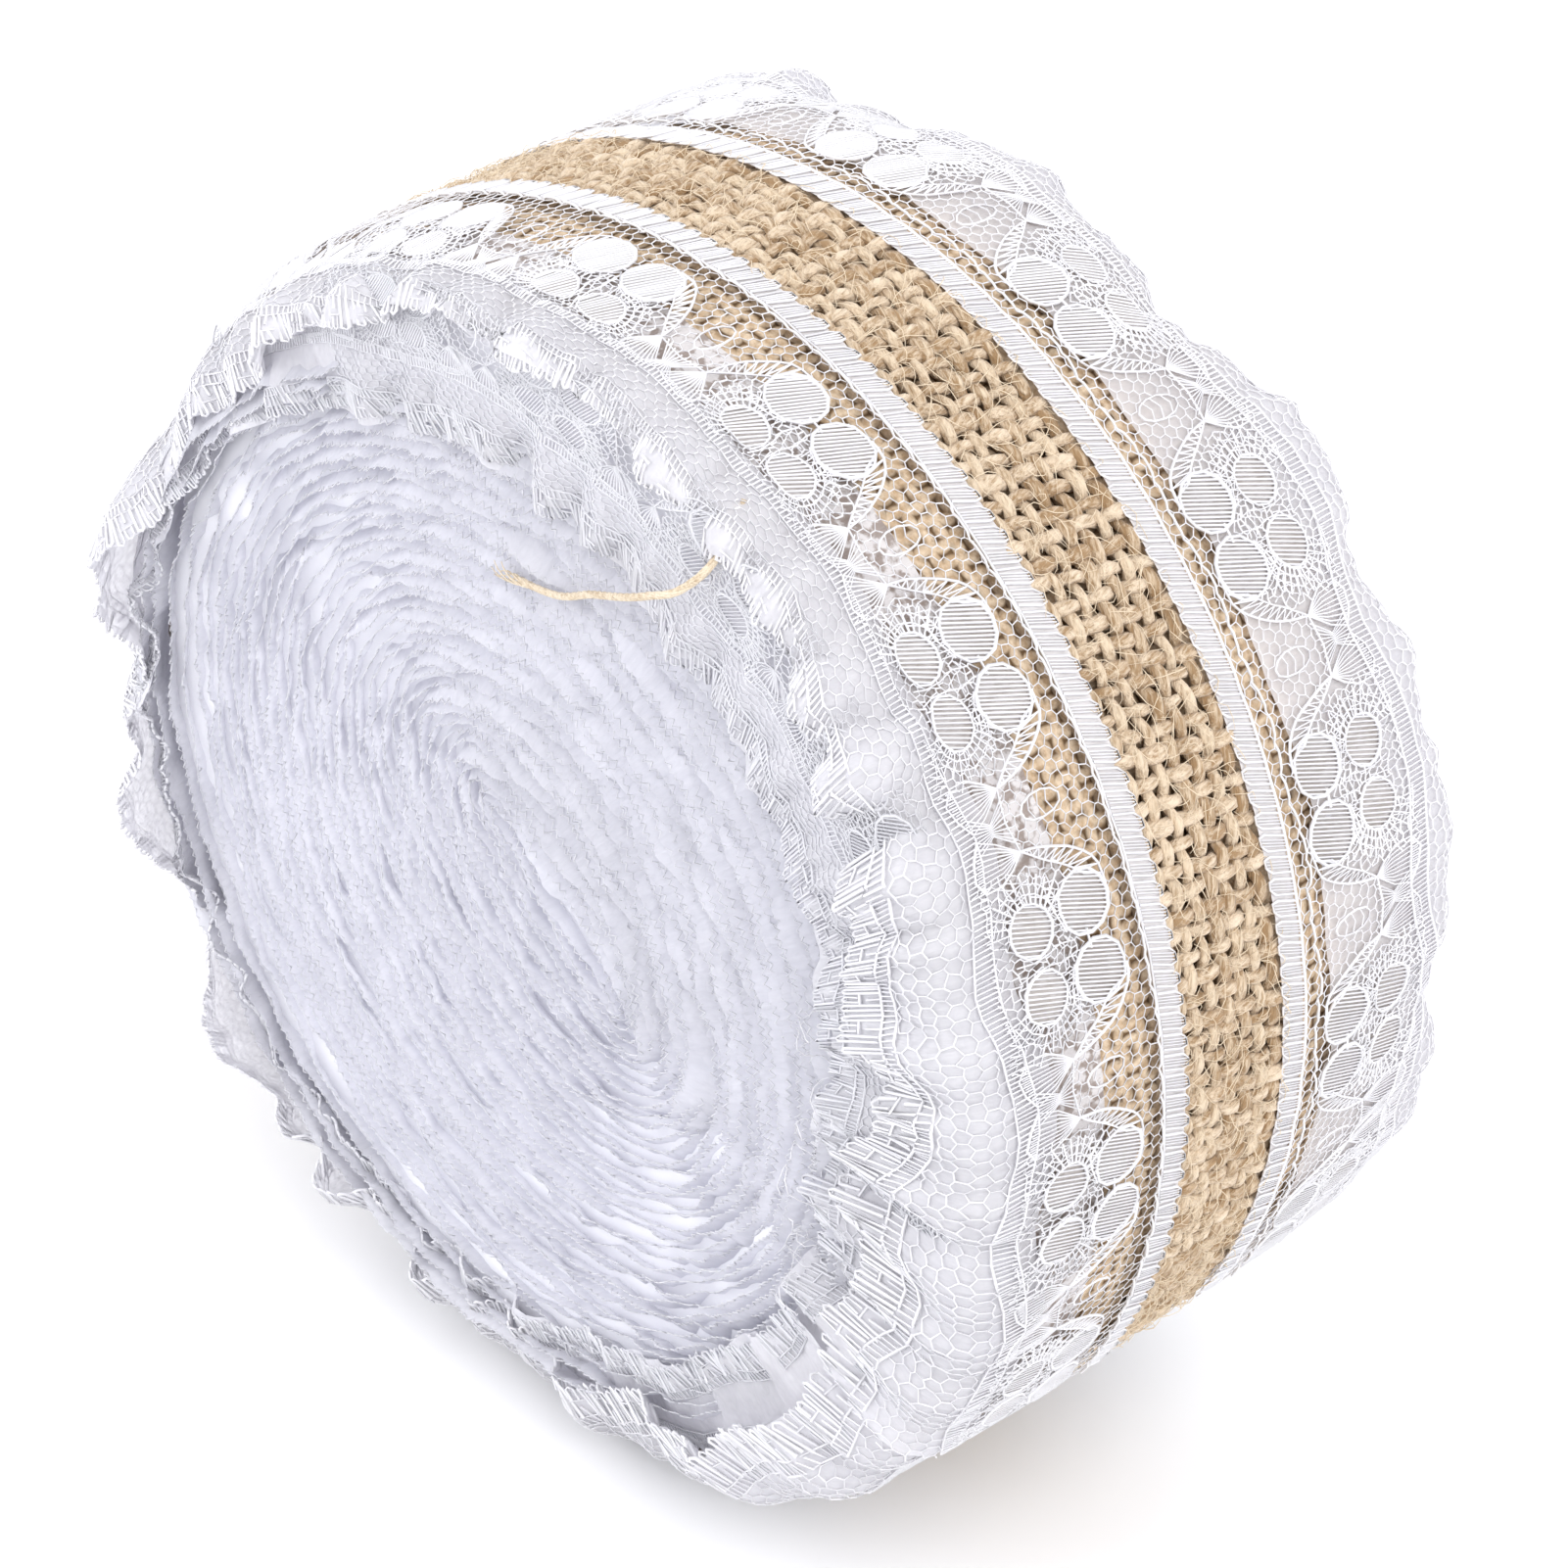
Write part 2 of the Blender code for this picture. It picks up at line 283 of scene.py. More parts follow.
class NodeBuilder:
    """Adds nodes to one tree with a short call each."""

    def __init__(self, tree: bpy.types.NodeTree) -> None:
        """Keep the tree that the nodes go into."""
        self.tree = tree

    def add(self, kind: str, inputs: dict | None = None, **settings: object) -> bpy.types.Node:
        """Add a node.

        Args:
            kind: the node's type.
            inputs: values or sockets by input name or number.
            settings: the node's own properties.

        Returns:
            The node.
        """
        node = self.tree.nodes.new(kind)
        for name, value in settings.items():
            setattr(node, name, value)
        for key, value in (inputs or {}).items():
            self.put(node.inputs[key], value)
        return node

    def put(self, socket: bpy.types.NodeSocket, value: object) -> None:
        """Give an input a value or a link; a colour of three numbers is made opaque."""
        if isinstance(value, bpy.types.NodeSocket):
            self.tree.links.new(value, socket)
        else:
            socket.default_value = (*value, 1.0) if socket.type == "RGBA" else value

    def math(self, operation: str, *values: object) -> bpy.types.NodeSocket:
        """The result of a Math node on up to three values."""
        return self.add("ShaderNodeMath", dict(enumerate(values)), operation=operation).outputs[0]

    def plus(self, first: object, second: object) -> bpy.types.NodeSocket:
        """The sum of two numbers."""
        return self.math("ADD", first, second)

    def minus(self, first: object, second: object) -> bpy.types.NodeSocket:
        """The first number less the second."""
        return self.math("SUBTRACT", first, second)

    def times(self, first: object, second: object) -> bpy.types.NodeSocket:
        """The product of two numbers."""
        return self.math("MULTIPLY", first, second)

    def vector(self, operation: str, *values: object) -> bpy.types.NodeSocket:
        """The vector result of a Vector Math node."""
        inputs = dict(enumerate(values))
        return self.add("ShaderNodeVectorMath", inputs, operation=operation).outputs[0]

    def scaled(self, vector: object, factor: object) -> bpy.types.NodeSocket:
        """A vector times a number."""
        inputs = {0: vector, "Scale": factor}
        return self.add("ShaderNodeVectorMath", inputs, operation="SCALE").outputs[0]

    def joined(self, x: object = 0.0, y: object = 0.0, z: object = 0.0) -> bpy.types.NodeSocket:
        """A vector from three numbers."""
        return self.add("ShaderNodeCombineXYZ", {0: x, 1: y, 2: z}).outputs[0]

    def split(self, vector: object) -> bpy.types.NodeOutputs:
        """The three numbers of a vector."""
        return self.add("ShaderNodeSeparateXYZ", {0: vector}).outputs

    def mapped(self, value: object, low: float, high: float) -> bpy.types.NodeSocket:
        """Where a value lies in a range, as a share from 0 to 1."""
        return self.add("ShaderNodeMapRange", {0: value, 1: low, 2: high}).outputs[0]

    def blended(self, share: object, first: object, second: object) -> bpy.types.NodeSocket:
        """Two colours mixed by a share."""
        inputs = {0: share, 6: first, 7: second}
        return self.add("ShaderNodeMix", inputs, data_type="RGBA").outputs[2]

    def place(self) -> bpy.types.NodeSocket:
        """The place on the object, in metres."""
        return self.add("ShaderNodeTexCoord").outputs["Object"]

    def chart(self) -> bpy.types.NodeSocket:
        """The place on the piece's own map."""
        return self.add("ShaderNodeUVMap", uv_map=GUIDE_MAP).outputs[0]

    def noise(self, place: object, scale: object, detail: float,
              roughness: float = 0.5) -> bpy.types.Node:
        """Cloudy noise; its first output is a number and its second a colour."""
        inputs = {"Vector": place, "Scale": scale, "Detail": detail, "Roughness": roughness}
        return self.add("ShaderNodeTexNoise", inputs)

    def attribute(self, name: str, kind: str) -> bpy.types.NodeSocket:
        """A geometry's named attribute."""
        inputs = {"Name": name}
        return self.add("GeometryNodeInputNamedAttribute", inputs, data_type=kind).outputs[0]


# --------------------------------------------------------------------------- finishes


@dataclass(frozen=True)
class Finish:
    """A cloth finish. Its look comes from the nodes that a subclass adds."""

    name: str
    colour: tuple[float, float, float]
    dark: tuple[float, float, float]
    roughness: float
    sheen: float = 0.0
    through: float = 0.0

    def material(self) -> bpy.types.Material:
        """The finish's material, made once."""
        made = bpy.data.materials.get(self.name)
        if made is not None:
            return made
        made = bpy.data.materials.new(self.name)
        made.use_nodes = True
        nodes = NodeBuilder(made.node_tree)
        shader = made.node_tree.nodes["Principled BSDF"]
        for label, value in (("Base Color", self.colour), ("Roughness", self.roughness),
                             ("Specular IOR Level", CLOTH_SHINE), ("Sheen Weight", self.sheen),
                             ("Sheen Roughness", SHEEN_SPREAD)):
            nodes.put(shader.inputs[label], value)
        self.dress(nodes, shader)
        if self.through > 0.0:
            self.let_light_through(nodes, shader)
        return made

    def let_light_through(self, nodes: NodeBuilder, shader: bpy.types.Node) -> None:
        """Mix in light from behind, as thin cloth shows it."""
        colour = shader.inputs["Base Color"]
        source = colour.links[0].from_socket if colour.is_linked else self.colour
        behind = nodes.add("ShaderNodeBsdfTranslucent", {"Color": source}).outputs[0]
        mixed = nodes.add("ShaderNodeMixShader", {0: self.through, 1: shader.outputs[0], 2: behind})
        nodes.put(nodes.tree.nodes["Material Output"].inputs["Surface"], mixed.outputs[0])

    def dress(self, nodes: NodeBuilder, shader: bpy.types.Node) -> None:
        """Add the finish's own nodes; the plain finish has none."""

    def paint(self, nodes: NodeBuilder, shader: bpy.types.Node, share: object) -> None:
        """Colour the surface from the dark tone to the light one by a share."""
        nodes.put(shader.inputs["Base Color"], nodes.blended(share, self.dark, self.colour))

    def bump(self, nodes: NodeBuilder, shader: bpy.types.Node, height: object, strength: float,
             depth_mm: float) -> None:
        """Drive the surface's relief from a height."""
        inputs = {"Strength": strength, "Distance": depth_mm * MM, "Height": height}
        nodes.put(shader.inputs["Normal"], nodes.add("ShaderNodeBump", inputs).outputs[0])


@dataclass(frozen=True)
class LaceFinish(Finish):
    """Fine white thread with a faint unevenness of tone and a twisted surface."""

    twist_mm: float = 0.30

    def dress(self, nodes: NodeBuilder, shader: bpy.types.Node) -> None:
        """Mix two whites by a soft cloudiness, and raise a fine twist on the threads."""
        place = nodes.place()
        cloud = nodes.noise(place, 210.0, 3.0).outputs[0]
        fine = nodes.noise(place, 1.0 / (self.twist_mm * MM), 2.0).outputs[0]
        tone = nodes.plus(nodes.times(cloud, 0.7), nodes.times(fine, 0.3))
        self.paint(nodes, shader, nodes.mapped(tone, 0.36, 0.62))
        self.bump(nodes, shader, fine, 0.35, 0.06)


class YarnWay(Enum):
    """Which way a yarn runs, so that its fibres are drawn along it."""

    ACROSS = "across the ribbon"
    ALONG = "along the ribbon"
    FREE = "any way"


@dataclass(frozen=True)
class YarnFinish(Finish):
    """Hairy jute: fine slanted streaks along the yarn, pale fibres and darker knots."""

    way: YarnWay = YarnWay.FREE

    def along_yarn(self, nodes: NodeBuilder, place: object) -> bpy.types.NodeSocket:
        """A place drawn out along the yarn, so that spots turn into streaks."""
        x, y, z = nodes.split(place)
        if self.way is YarnWay.ACROSS:
            leaning = nodes.plus(x, nodes.times(y, STREAK_LEAN))
            return nodes.joined(leaning, nodes.times(y, STREAK_PULL), z)
        if self.way is YarnWay.FREE:
            return place
        height = nodes.minus(z, FORM_CENTRE)
        radius = nodes.math("SQRT", nodes.plus(nodes.times(x, x), nodes.times(height, height)))
        arc = nodes.times(nodes.math("ARCTAN2", x, height), STRIP_RADIUS * MM)
        leaning = nodes.plus(y, nodes.times(arc, STREAK_LEAN))
        return nodes.joined(nodes.times(arc, STREAK_PULL), leaning, radius)

    def dress(self, nodes: NodeBuilder, shader: bpy.types.Node) -> None:
        """Mix the strand's own tone with streaks and with broad patches."""
        place = nodes.place()
        own = nodes.add("ShaderNodeAttribute", attribute_name=SHADE).outputs["Fac"]
        patch = nodes.noise(place, 240.0, 3.0).outputs[0]
        streak = nodes.noise(self.along_yarn(nodes, place), 2300.0, 3.0, 0.7).outputs[0]
        tone = nodes.plus(nodes.times(own, 0.26), nodes.times(patch, 0.50))
        tone = nodes.plus(tone, nodes.times(streak, 1.25))
        self.paint(nodes, shader, nodes.mapped(tone, 0.82, 1.14))
        self.bump(nodes, shader, streak, 1.0, 0.45)


@dataclass(frozen=True)
class WeaveFinish(Finish):
    """Plain weave that shows under the lace, drawn on the piece's own map in yarn counts."""

    gap_shade: tuple[float, float, float] = (0.20, 0.12, 0.06)

    def dress(self, nodes: NodeBuilder, shader: bpy.types.Node) -> None:
        """Draw yarns over and under each other, with painted shade in the brown gaps between them.
        """
        place = nodes.place()
        wobble = nodes.noise(place, 260.0, 2.0).outputs[1]
        wobble = nodes.scaled(nodes.vector("SUBTRACT", wobble, HALF_GREY), 0.35)
        weft, warp, _ = nodes.split(nodes.vector("ADD", nodes.chart(), wobble))
        weft, warp = nodes.times(weft, math.pi), nodes.times(warp, math.pi)
        over_weft, over_warp = (
            nodes.math("ABSOLUTE", nodes.math("SINE", way)) for way in (weft, warp)
        )
        weft_swing, warp_swing = (nodes.math("COSINE", way) for way in (weft, warp))
        swing = nodes.times(nodes.times(weft_swing, warp_swing), 0.5)
        height = nodes.math("MAXIMUM", nodes.plus(over_weft, swing), nodes.minus(over_warp, swing))
        fibre = nodes.noise(place, 1500.0, 3.0).outputs[0]
        yarn = nodes.blended(nodes.mapped(fibre, 0.35, 0.65), self.dark, self.colour)
        # the low places between the yarns take the dark brown: painted shade
        colour = nodes.blended(nodes.mapped(height, 0.55, 0.85), self.gap_shade, yarn)
        nodes.put(shader.inputs["Base Color"], colour)
        self.bump(nodes, shader, nodes.plus(height, nodes.times(fibre, 0.35)), 1.0, 0.8)


@dataclass(frozen=True)
class GroundFinish(Finish):
    """Close lace ground: soft white with fine ribs across it and a few holes, with painted shade
    between the ribs and in the holes.
    """

    cell_mm: float = 1.1
    holes: float = 0.55
    ribs: float = 0.5
    patch_mm: float = 3.8

    def dress(self, nodes: NodeBuilder, shader: bpy.types.Node) -> None:
        """Paint shade between the ribs and in small cells into the white, on the piece's own map in
        millimetres.
        """
        along, across, _ = nodes.split(nodes.chart())
        place = nodes.place()
        ribbed = nodes.joined(nodes.times(along, 2.1), nodes.times(across, 0.35))
        rib = nodes.noise(ribbed, 1.0, 2.0).outputs[0]
        cell_place = {"Vector": place, "Scale": 1.0 / (self.cell_mm * MM)}
        cells = nodes.add("ShaderNodeTexVoronoi", cell_place).outputs["Distance"]
        cloud = nodes.noise(place, 1.0 / (self.patch_mm * MM), 4.0).outputs[0]
        # painted shade: the tone falls to the dark colour in the holes and between the ribs
        hole = nodes.mapped(nodes.minus(cloud, nodes.times(cells, 0.25)), 0.30, 0.42)
        rib_share = nodes.times(nodes.mapped(rib, 0.35, 0.65), self.ribs)
        share = nodes.plus(rib_share, nodes.times(hole, self.holes))
        self.paint(nodes, shader, nodes.mapped(share, 0.0, 1.0))
        self.bump(nodes, shader, nodes.minus(rib, nodes.times(cells, 0.5)), 0.6, 0.35)


def made_of(mesh: bpy.types.Mesh, finish: Finish) -> bpy.types.Object:
    """A mesh as an object of its own name, in one finish."""
    mesh.materials.append(finish.material())
    return add_object(mesh.name, mesh)


LACE = LaceFinish("lace_thread_white", (0.945, 0.938, 0.962), (0.905, 0.898, 0.93), 0.55, 0.1, 0.12)
# the lace's white thread again, painted darker and bluer for the second turn and the faces: painted
# shade
SHADED_WOUND_LACE = LaceFinish("lace_thread_wound", (0.90, 0.897, 0.93), (0.85, 0.85, 0.885), 0.70, 0.05,
                        0.25)
# its dark tone is painted shade between the ribs and in the holes
GROUND = GroundFinish("lace_ground", (0.945, 0.938, 0.965), (0.87, 0.862, 0.895), 0.85, 0.0, 0.5)
# grey for the band behind the ladder: painted shade seen through the slits between its rungs
LADDER_SHADE_GROUND = GroundFinish("lace_ground_ladder", (0.87, 0.85, 0.86), (0.78, 0.755, 0.76), 0.9,
                             through=0.2)
# grey-brown for the backings behind the petals: the hessian's tan with painted shade, seen through
# the hatching
PETAL_SHADE_GROUND = GroundFinish("lace_ground_petal", (0.76, 0.725, 0.715), (0.57, 0.52, 0.49), 0.9,
                            through=0.2)
# grey with dark holes for the lace under the motif: painted deep shade seen through the motif's
# holes
DEEP_SHADE_GROUND = GroundFinish("lace_ground_deep", (0.76, 0.73, 0.73), (0.34, 0.28, 0.25), 0.95,
                           cell_mm=0.9, holes=1.0, ribs=0.15, patch_mm=1.2)
# the lace ground again, painted darker and bluer for the wound turns of the faces: painted shade
SHADED_WOUND_GROUND = GroundFinish("lace_ground_wound", (0.835, 0.833, 0.875), (0.765, 0.765, 0.81), 0.9,
                            through=0.5)
# the lace white painted greyer and bluer for the packed turns: painted shade
SHADED_LACE_MASS = Finish("lace_mass", (0.89, 0.89, 0.93), (0.6, 0.6, 0.66), 0.95)
HESSIAN_WEFT = YarnFinish("hessian_weft", (0.79, 0.65, 0.49), (0.38, 0.245, 0.13), 0.88, 0.2,
                          way=YarnWay.ACROSS)
HESSIAN_WARP = YarnFinish("hessian_warp", (0.77, 0.63, 0.465), (0.36, 0.23, 0.12), 0.88, 0.2,
                          way=YarnWay.ALONG)
HESSIAN_UNDER = WeaveFinish("hessian_weave", (0.80, 0.65, 0.48), (0.54, 0.38, 0.235), 0.92)
HESSIAN_FIBRE = Finish("hessian_fibre", (0.80, 0.67, 0.50), (0.5, 0.38, 0.22), 0.85)
LOOSE_YARN = YarnFinish("loose_yarn", (0.86, 0.74, 0.57), (0.62, 0.48, 0.32), 0.85, 0.2)
SEWING_THREAD = LaceFinish("sewing_thread", (0.84, 0.83, 0.84), (0.72, 0.71, 0.72), 0.45, 0.0)


# --------------------------------------------------------------------------- the roll's form


@dataclass(frozen=True)
class RollForm:
    """The wound ribbon's main sizes, the same as the fixed frame's."""

    centre_height: float = FORM_CENTRE / MM
    radius: float = 63.0
    pitch: float = 1.2
    end_direction: float = 120.0
    pressed_direction: float = 340.0
    pressed_width: float = 34.0
    pressed_depth: float = 1.4
    hessian_width: float = 45.0

    @property
    def first_direction(self) -> float:
        """Where the outermost turn begins, one turn before the cut end."""
        return self.end_direction - FULL_TURN

    def rim(self, direction: np.ndarray) -> np.ndarray:
        """Radius of the ribbon's outer turns by its unwound direction."""
        direction = np.asarray(direction, float)
        away = (direction - self.pressed_direction + 180.0) % FULL_TURN - 180.0
        pressed = self.pressed_depth * np.exp(-((away / self.pressed_width) ** 2))
        return self.radius - self.pitch * (self.end_direction - direction) / FULL_TURN - pressed

    def place(self, direction: np.ndarray, radius: np.ndarray, along_axis: np.ndarray,
              floor: float = 0.0) -> np.ndarray:
        """Points of the roll in metres.

        Args:
            direction: direction round the roll.
            radius: distance from the axis.
            along_axis: place along the axis.
            floor: least height over the surface that the roll stands on.

        Returns:
            An array of points, one more axis than the arguments.
        """
        direction, radius, along_axis = np.broadcast_arrays(direction, radius, along_axis)
        angle = np.radians(direction)
        height = np.maximum(self.centre_height + radius * np.cos(angle), floor)
        return np.stack([radius * np.sin(angle), along_axis, height], axis=-1) * MM

    def check(self) -> None:
        """Stop if the frame's hessian isn't the size that this file was written for."""
        low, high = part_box("hessian_roll")
        wide, deep = (high[0] - low[0]) / MM, (high[1] - low[1]) / MM
        if abs(wide - 2.0 * self.radius) > 3.0 or abs(deep - self.hessian_width) > 0.5:
            raise ValueError(f"the frame's hessian is {wide:.1f} by {deep:.1f} mm")


FORM = RollForm()


class Guide:
    """A surface that flat work is laid on, with a map in millimetres of the flat work."""

    def __init__(self, name: str, points: np.ndarray, across: np.ndarray, along: np.ndarray,
                 outward: np.ndarray) -> None:
        """Make the guide's mesh.

        Args:
            name: name of the working object.
            points: grid of points in metres, along the work and then across it.
            across: flat place across the work for each column, in millimetres.
            along: flat place along the work for each row, in millimetres.
            outward: a rough outward direction for each point, which settles the normals.
        """
        rows, columns = points.shape[:2]
        self.length, self.low, self.high = float(along[-1]), float(across[0]), float(across[-1])
        normal = np.cross(np.gradient(points, axis=0), np.gradient(points, axis=1))
        normal /= np.maximum(np.linalg.norm(normal, axis=2, keepdims=True), TINY)
        turned = np.sign((normal * outward).sum(axis=2, keepdims=True))
        self.flipped = bool(turned.mean() < 0.0)
        normal *= -1.0 if self.flipped else 1.0
        number = np.arange(rows * columns).reshape(rows, columns)
        corners = [number[:-1, :-1], number[1:, :-1], number[1:, 1:], number[:-1, 1:]]
        faces = np.stack(corners, axis=-1).reshape(-1, 4)
        mesh = make_mesh(name, points.reshape(-1, 3), faces)
        place = np.stack(np.broadcast_arrays(
            (along / self.length)[:, None],
            ((across - self.low) / (self.high - self.low))[None, :],
        ), axis=-1).reshape(-1, 2)
        chart_faces(mesh, place[faces.reshape(-1)])
        mark_points(mesh, OUTWARD, normal.reshape(-1, 3))
        self.object = add_object(name, mesh)

    def keep(self, finish: Finish, width: float) -> bpy.types.Object:
        """Turn the guide into a piece of its own, with its map in millimetres.

        Args:
            finish: the piece's finish.
            width: size across the work that the map's second direction stands for.

        Returns:
            The piece.
        """
        mesh = self.object.data
        chart = mesh.uv_layers[GUIDE_MAP]
        values = np.zeros(2 * len(chart.data), np.float32)
        chart.data.foreach_get("uv", values)
        values = values.reshape(-1, 2) * (self.length, width)
        chart.data.foreach_set("uv", values.astype(np.float32).reshape(-1))
        mesh.attributes.remove(mesh.attributes[OUTWARD])
        if self.flipped:
            mesh.flip_normals()
        mesh.materials.append(finish.material())
        return self.object

    def drop(self) -> None:
        """Remove the guide once nothing more is laid on it."""
        drop_object(self.object)


# --------------------------------------------------------------------------- flat work


class FlatWork:
    """Threads drawn flat: x along the lace, y across it and z above it, in millimetres."""

    def __init__(self) -> None:
        """Start with no threads."""
        self.points: list[np.ndarray] = []
        self.edges: list[np.ndarray] = []
        self.widths: list[np.ndarray] = []
        self.shades: list[np.ndarray] = []
        self.rng = np.random.default_rng(7)
        self.count = 0

    def thread(self, points: list | np.ndarray, width: float | np.ndarray,
               closed: bool = False) -> None:
        """Add one thread.

        Args:
            points: its points, with or without a height.
            width: its diameter.
            closed: whether it joins its own start.
        """
        line = np.asarray(points, float)
        if line.shape[1] == 2:
            line = np.column_stack([line, np.zeros(len(line))])
        number = np.arange(len(line)) + self.count
        edges = np.stack([number[:-1], number[1:]], axis=1)
        if closed:
            edges = np.vstack([edges, [number[-1], number[0]]])
        self.points.append(line)
        self.edges.append(edges)
        self.widths.append(np.broadcast_to(np.asarray(width, float), len(line)))
        self.shades.append(np.full(len(line), self.rng.random()))
        self.count += len(line)

    def both(self, points: list | np.ndarray, width: float, closed: bool = False) -> None:
        """Add a thread and its mirror image about x = 0."""
        line = np.asarray(points, float)
        self.thread(line, width, closed)
        self.thread(line * (-1.0, 1.0), width, closed)

    def ring(self, centre: tuple, half: tuple, width: float) -> None:
        """Add an oval loop round a centre, and its mirror image."""
        self.both(oval(centre, half, OVAL_CORNERS), width, True)

    def petal(self, centre: tuple, half: tuple, outline: float, fill: float, lines: int,
              slant: float) -> None:
        """Add a hatched oval and its mirror image, both hatched the same way.

        Args:
            centre: middle of the oval.
            half: half its size along and across.
            outline: width of its edge thread.
            fill: width of its hatching threads.
            lines: how many hatching threads it has.
            slant: how far the hatching leans.
        """
        self.ring(centre, half, outline)
        way = np.array([slant * half[1] / half[0], 1.0])
        size = float(np.hypot(*way))
        for middle in (centre[0], -centre[0]):
            for offset in np.linspace(-0.86, 0.86, lines):
                # the chord's middle and half length, in the oval's own unit circle
                reach = math.sqrt(1.0 - offset * offset)
                across = offset * np.array([way[1], -way[0]]) / size
                chord = [across + sign * reach * way / size for sign in (-1.0, 1.0)]
                ends = [(middle + x * half[0], centre[1] + y * half[1]) for x, y in chord]
                self.thread(ends, fill)

    def net(self, cell: float, low: float, rows: int, half: float, inside: object, width: float,
            jitter: float = 0.0, seed: int = 1) -> None:
        """Add a net of six-sided meshes wherever a test allows it.

        Args:
            cell: width of a mesh along the lace.
            low: where the first row lies across the lace.
            rows: how many rows there are.
            half: half the length of lace that the net covers.
            inside: test of x and y arrays that is true where the net shows.
            width: diameter of its threads.
            jitter: how far its knots wander.
            seed: number that fixes the wandering.
        """
        rng = np.random.default_rng(seed)
        side = cell / math.sqrt(3.0)
        cells = round(2.0 * half / cell)
        steps = np.arange(2 * cells + 1)
        x = -half + steps * cell / 2.0
        shift = rng.normal(0.0, 1.0, (rows + 1, len(steps), 2)) * jitter
        shift[:, -1] = shift[:, 0]
        tracks = []
        for row in range(rows + 1):
            up = (steps + row) % 2 == 0
            y = low + row * 1.5 * side + np.where(up, 0.25, -0.25) * side
            tracks.append((x + shift[row, :, 0], y + shift[row, :, 1], up))
        for row, (px, py, up) in enumerate(tracks):
            shown = inside((px[:-1] + px[1:]) / 2.0, (py[:-1] + py[1:]) / 2.0)
            start = None
            for index in range(len(shown) + 1):
                if index < len(shown) and shown[index]:
                    start = index if start is None else start
                elif start is not None:
                    self.thread(points_of(px[start:index + 1], py[start:index + 1]), width)
                    start = None
            if row == rows:
                continue
            nx, ny, _ = tracks[row + 1]
            for index in np.nonzero(up)[0][:-1] if up[0] else np.nonzero(up)[0]:
                middle = np.array([px[index]]), np.array([(py[index] + ny[index]) / 2.0])
                if inside(*middle)[0]:
                    self.thread([(px[index], py[index]), (nx[index], ny[index])], width)

    def block(self, x: float, base: float, tip: float, half: float, width: float,
              slant: float) -> None:
        """Add one block of the border: long bars beside a small window, under a comb.

        Args:
            x: middle of the block.
            base: where its bars start across the lace.
            tip: where their round ends lie.
            half: half the block's length.
            width: diameter of its threads.
            slant: how far its threads lean along the lace.
        """
        outer, inner, comb = half * 0.84, half * 0.50, half * 0.22

        def leaning(points: list) -> list:
            """The points with the block's slant."""
            return [(px + slant * (py - base), py) for px, py in points]

        round_from = tip - 0.3
        for way in (-1.0, 1.0):
            far, near = x + way * outer, x + way * inner
            self.thread(leaning([(far, base), (far, round_from), ((far + near) / 2.0, tip),
                                 (near, round_from), (near, base)]), width)
        self.thread(leaning([(x - comb, tip - 1.7), (x - comb, round_from), (x, tip),
                             (x + comb, round_from), (x + comb, tip - 1.7)]), width * 0.8)
        self.thread(leaning([(x - inner, tip - 1.85), (x + inner, tip - 1.9)]), width * 0.7)
        self.thread(leaning([(x, base), (x, tip - 2.6)]), width * 0.8)

    def object(self, name: str) -> bpy.types.Object:
        """The threads as a working object of bare edges with a width at each point."""
        mesh = bpy.data.meshes.new(name)
        mesh.from_pydata((np.vstack(self.points) * MM).tolist(), np.vstack(self.edges).tolist(), [])
        mark_points(mesh, WIDTH_ATTRIBUTE, np.concatenate(self.widths) * MM)
        mark_points(mesh, SHADE, np.concatenate(self.shades))
        return add_object(name, mesh)


def set_input(modifier: bpy.types.NodesModifier, name: str, value: object) -> None:
    """Set a modifier's input by the identifier of the socket with that name."""
    for item in modifier.node_group.interface.items_tree:
        if item.item_type == "SOCKET" and item.in_out == "INPUT" and item.name == name:
            modifier[item.identifier] = value
            return
    raise KeyError(name)


def group_tree(name: str,
               inputs: tuple) -> tuple[NodeBuilder, bpy.types.NodeOutputs, bpy.types.Node]:
    """Start a node tree with named inputs.

    Args:
        name: name of the tree.
        inputs: pairs of input name and socket type.

    Returns:
        The builder, the inputs' sockets and the tree's output node.
    """
    tree = bpy.data.node_groups.new(name, "GeometryNodeTree")
    for label, kind in inputs:
        tree.interface.new_socket(label, in_out="INPUT", socket_type=kind)
    tree.interface.new_socket("Geometry", in_out="OUTPUT", socket_type="NodeSocketGeometry")
    nodes = NodeBuilder(tree)
    start = nodes.add("NodeGroupInput")
    end = nodes.add("NodeGroupOutput")
    return nodes, start.outputs, end


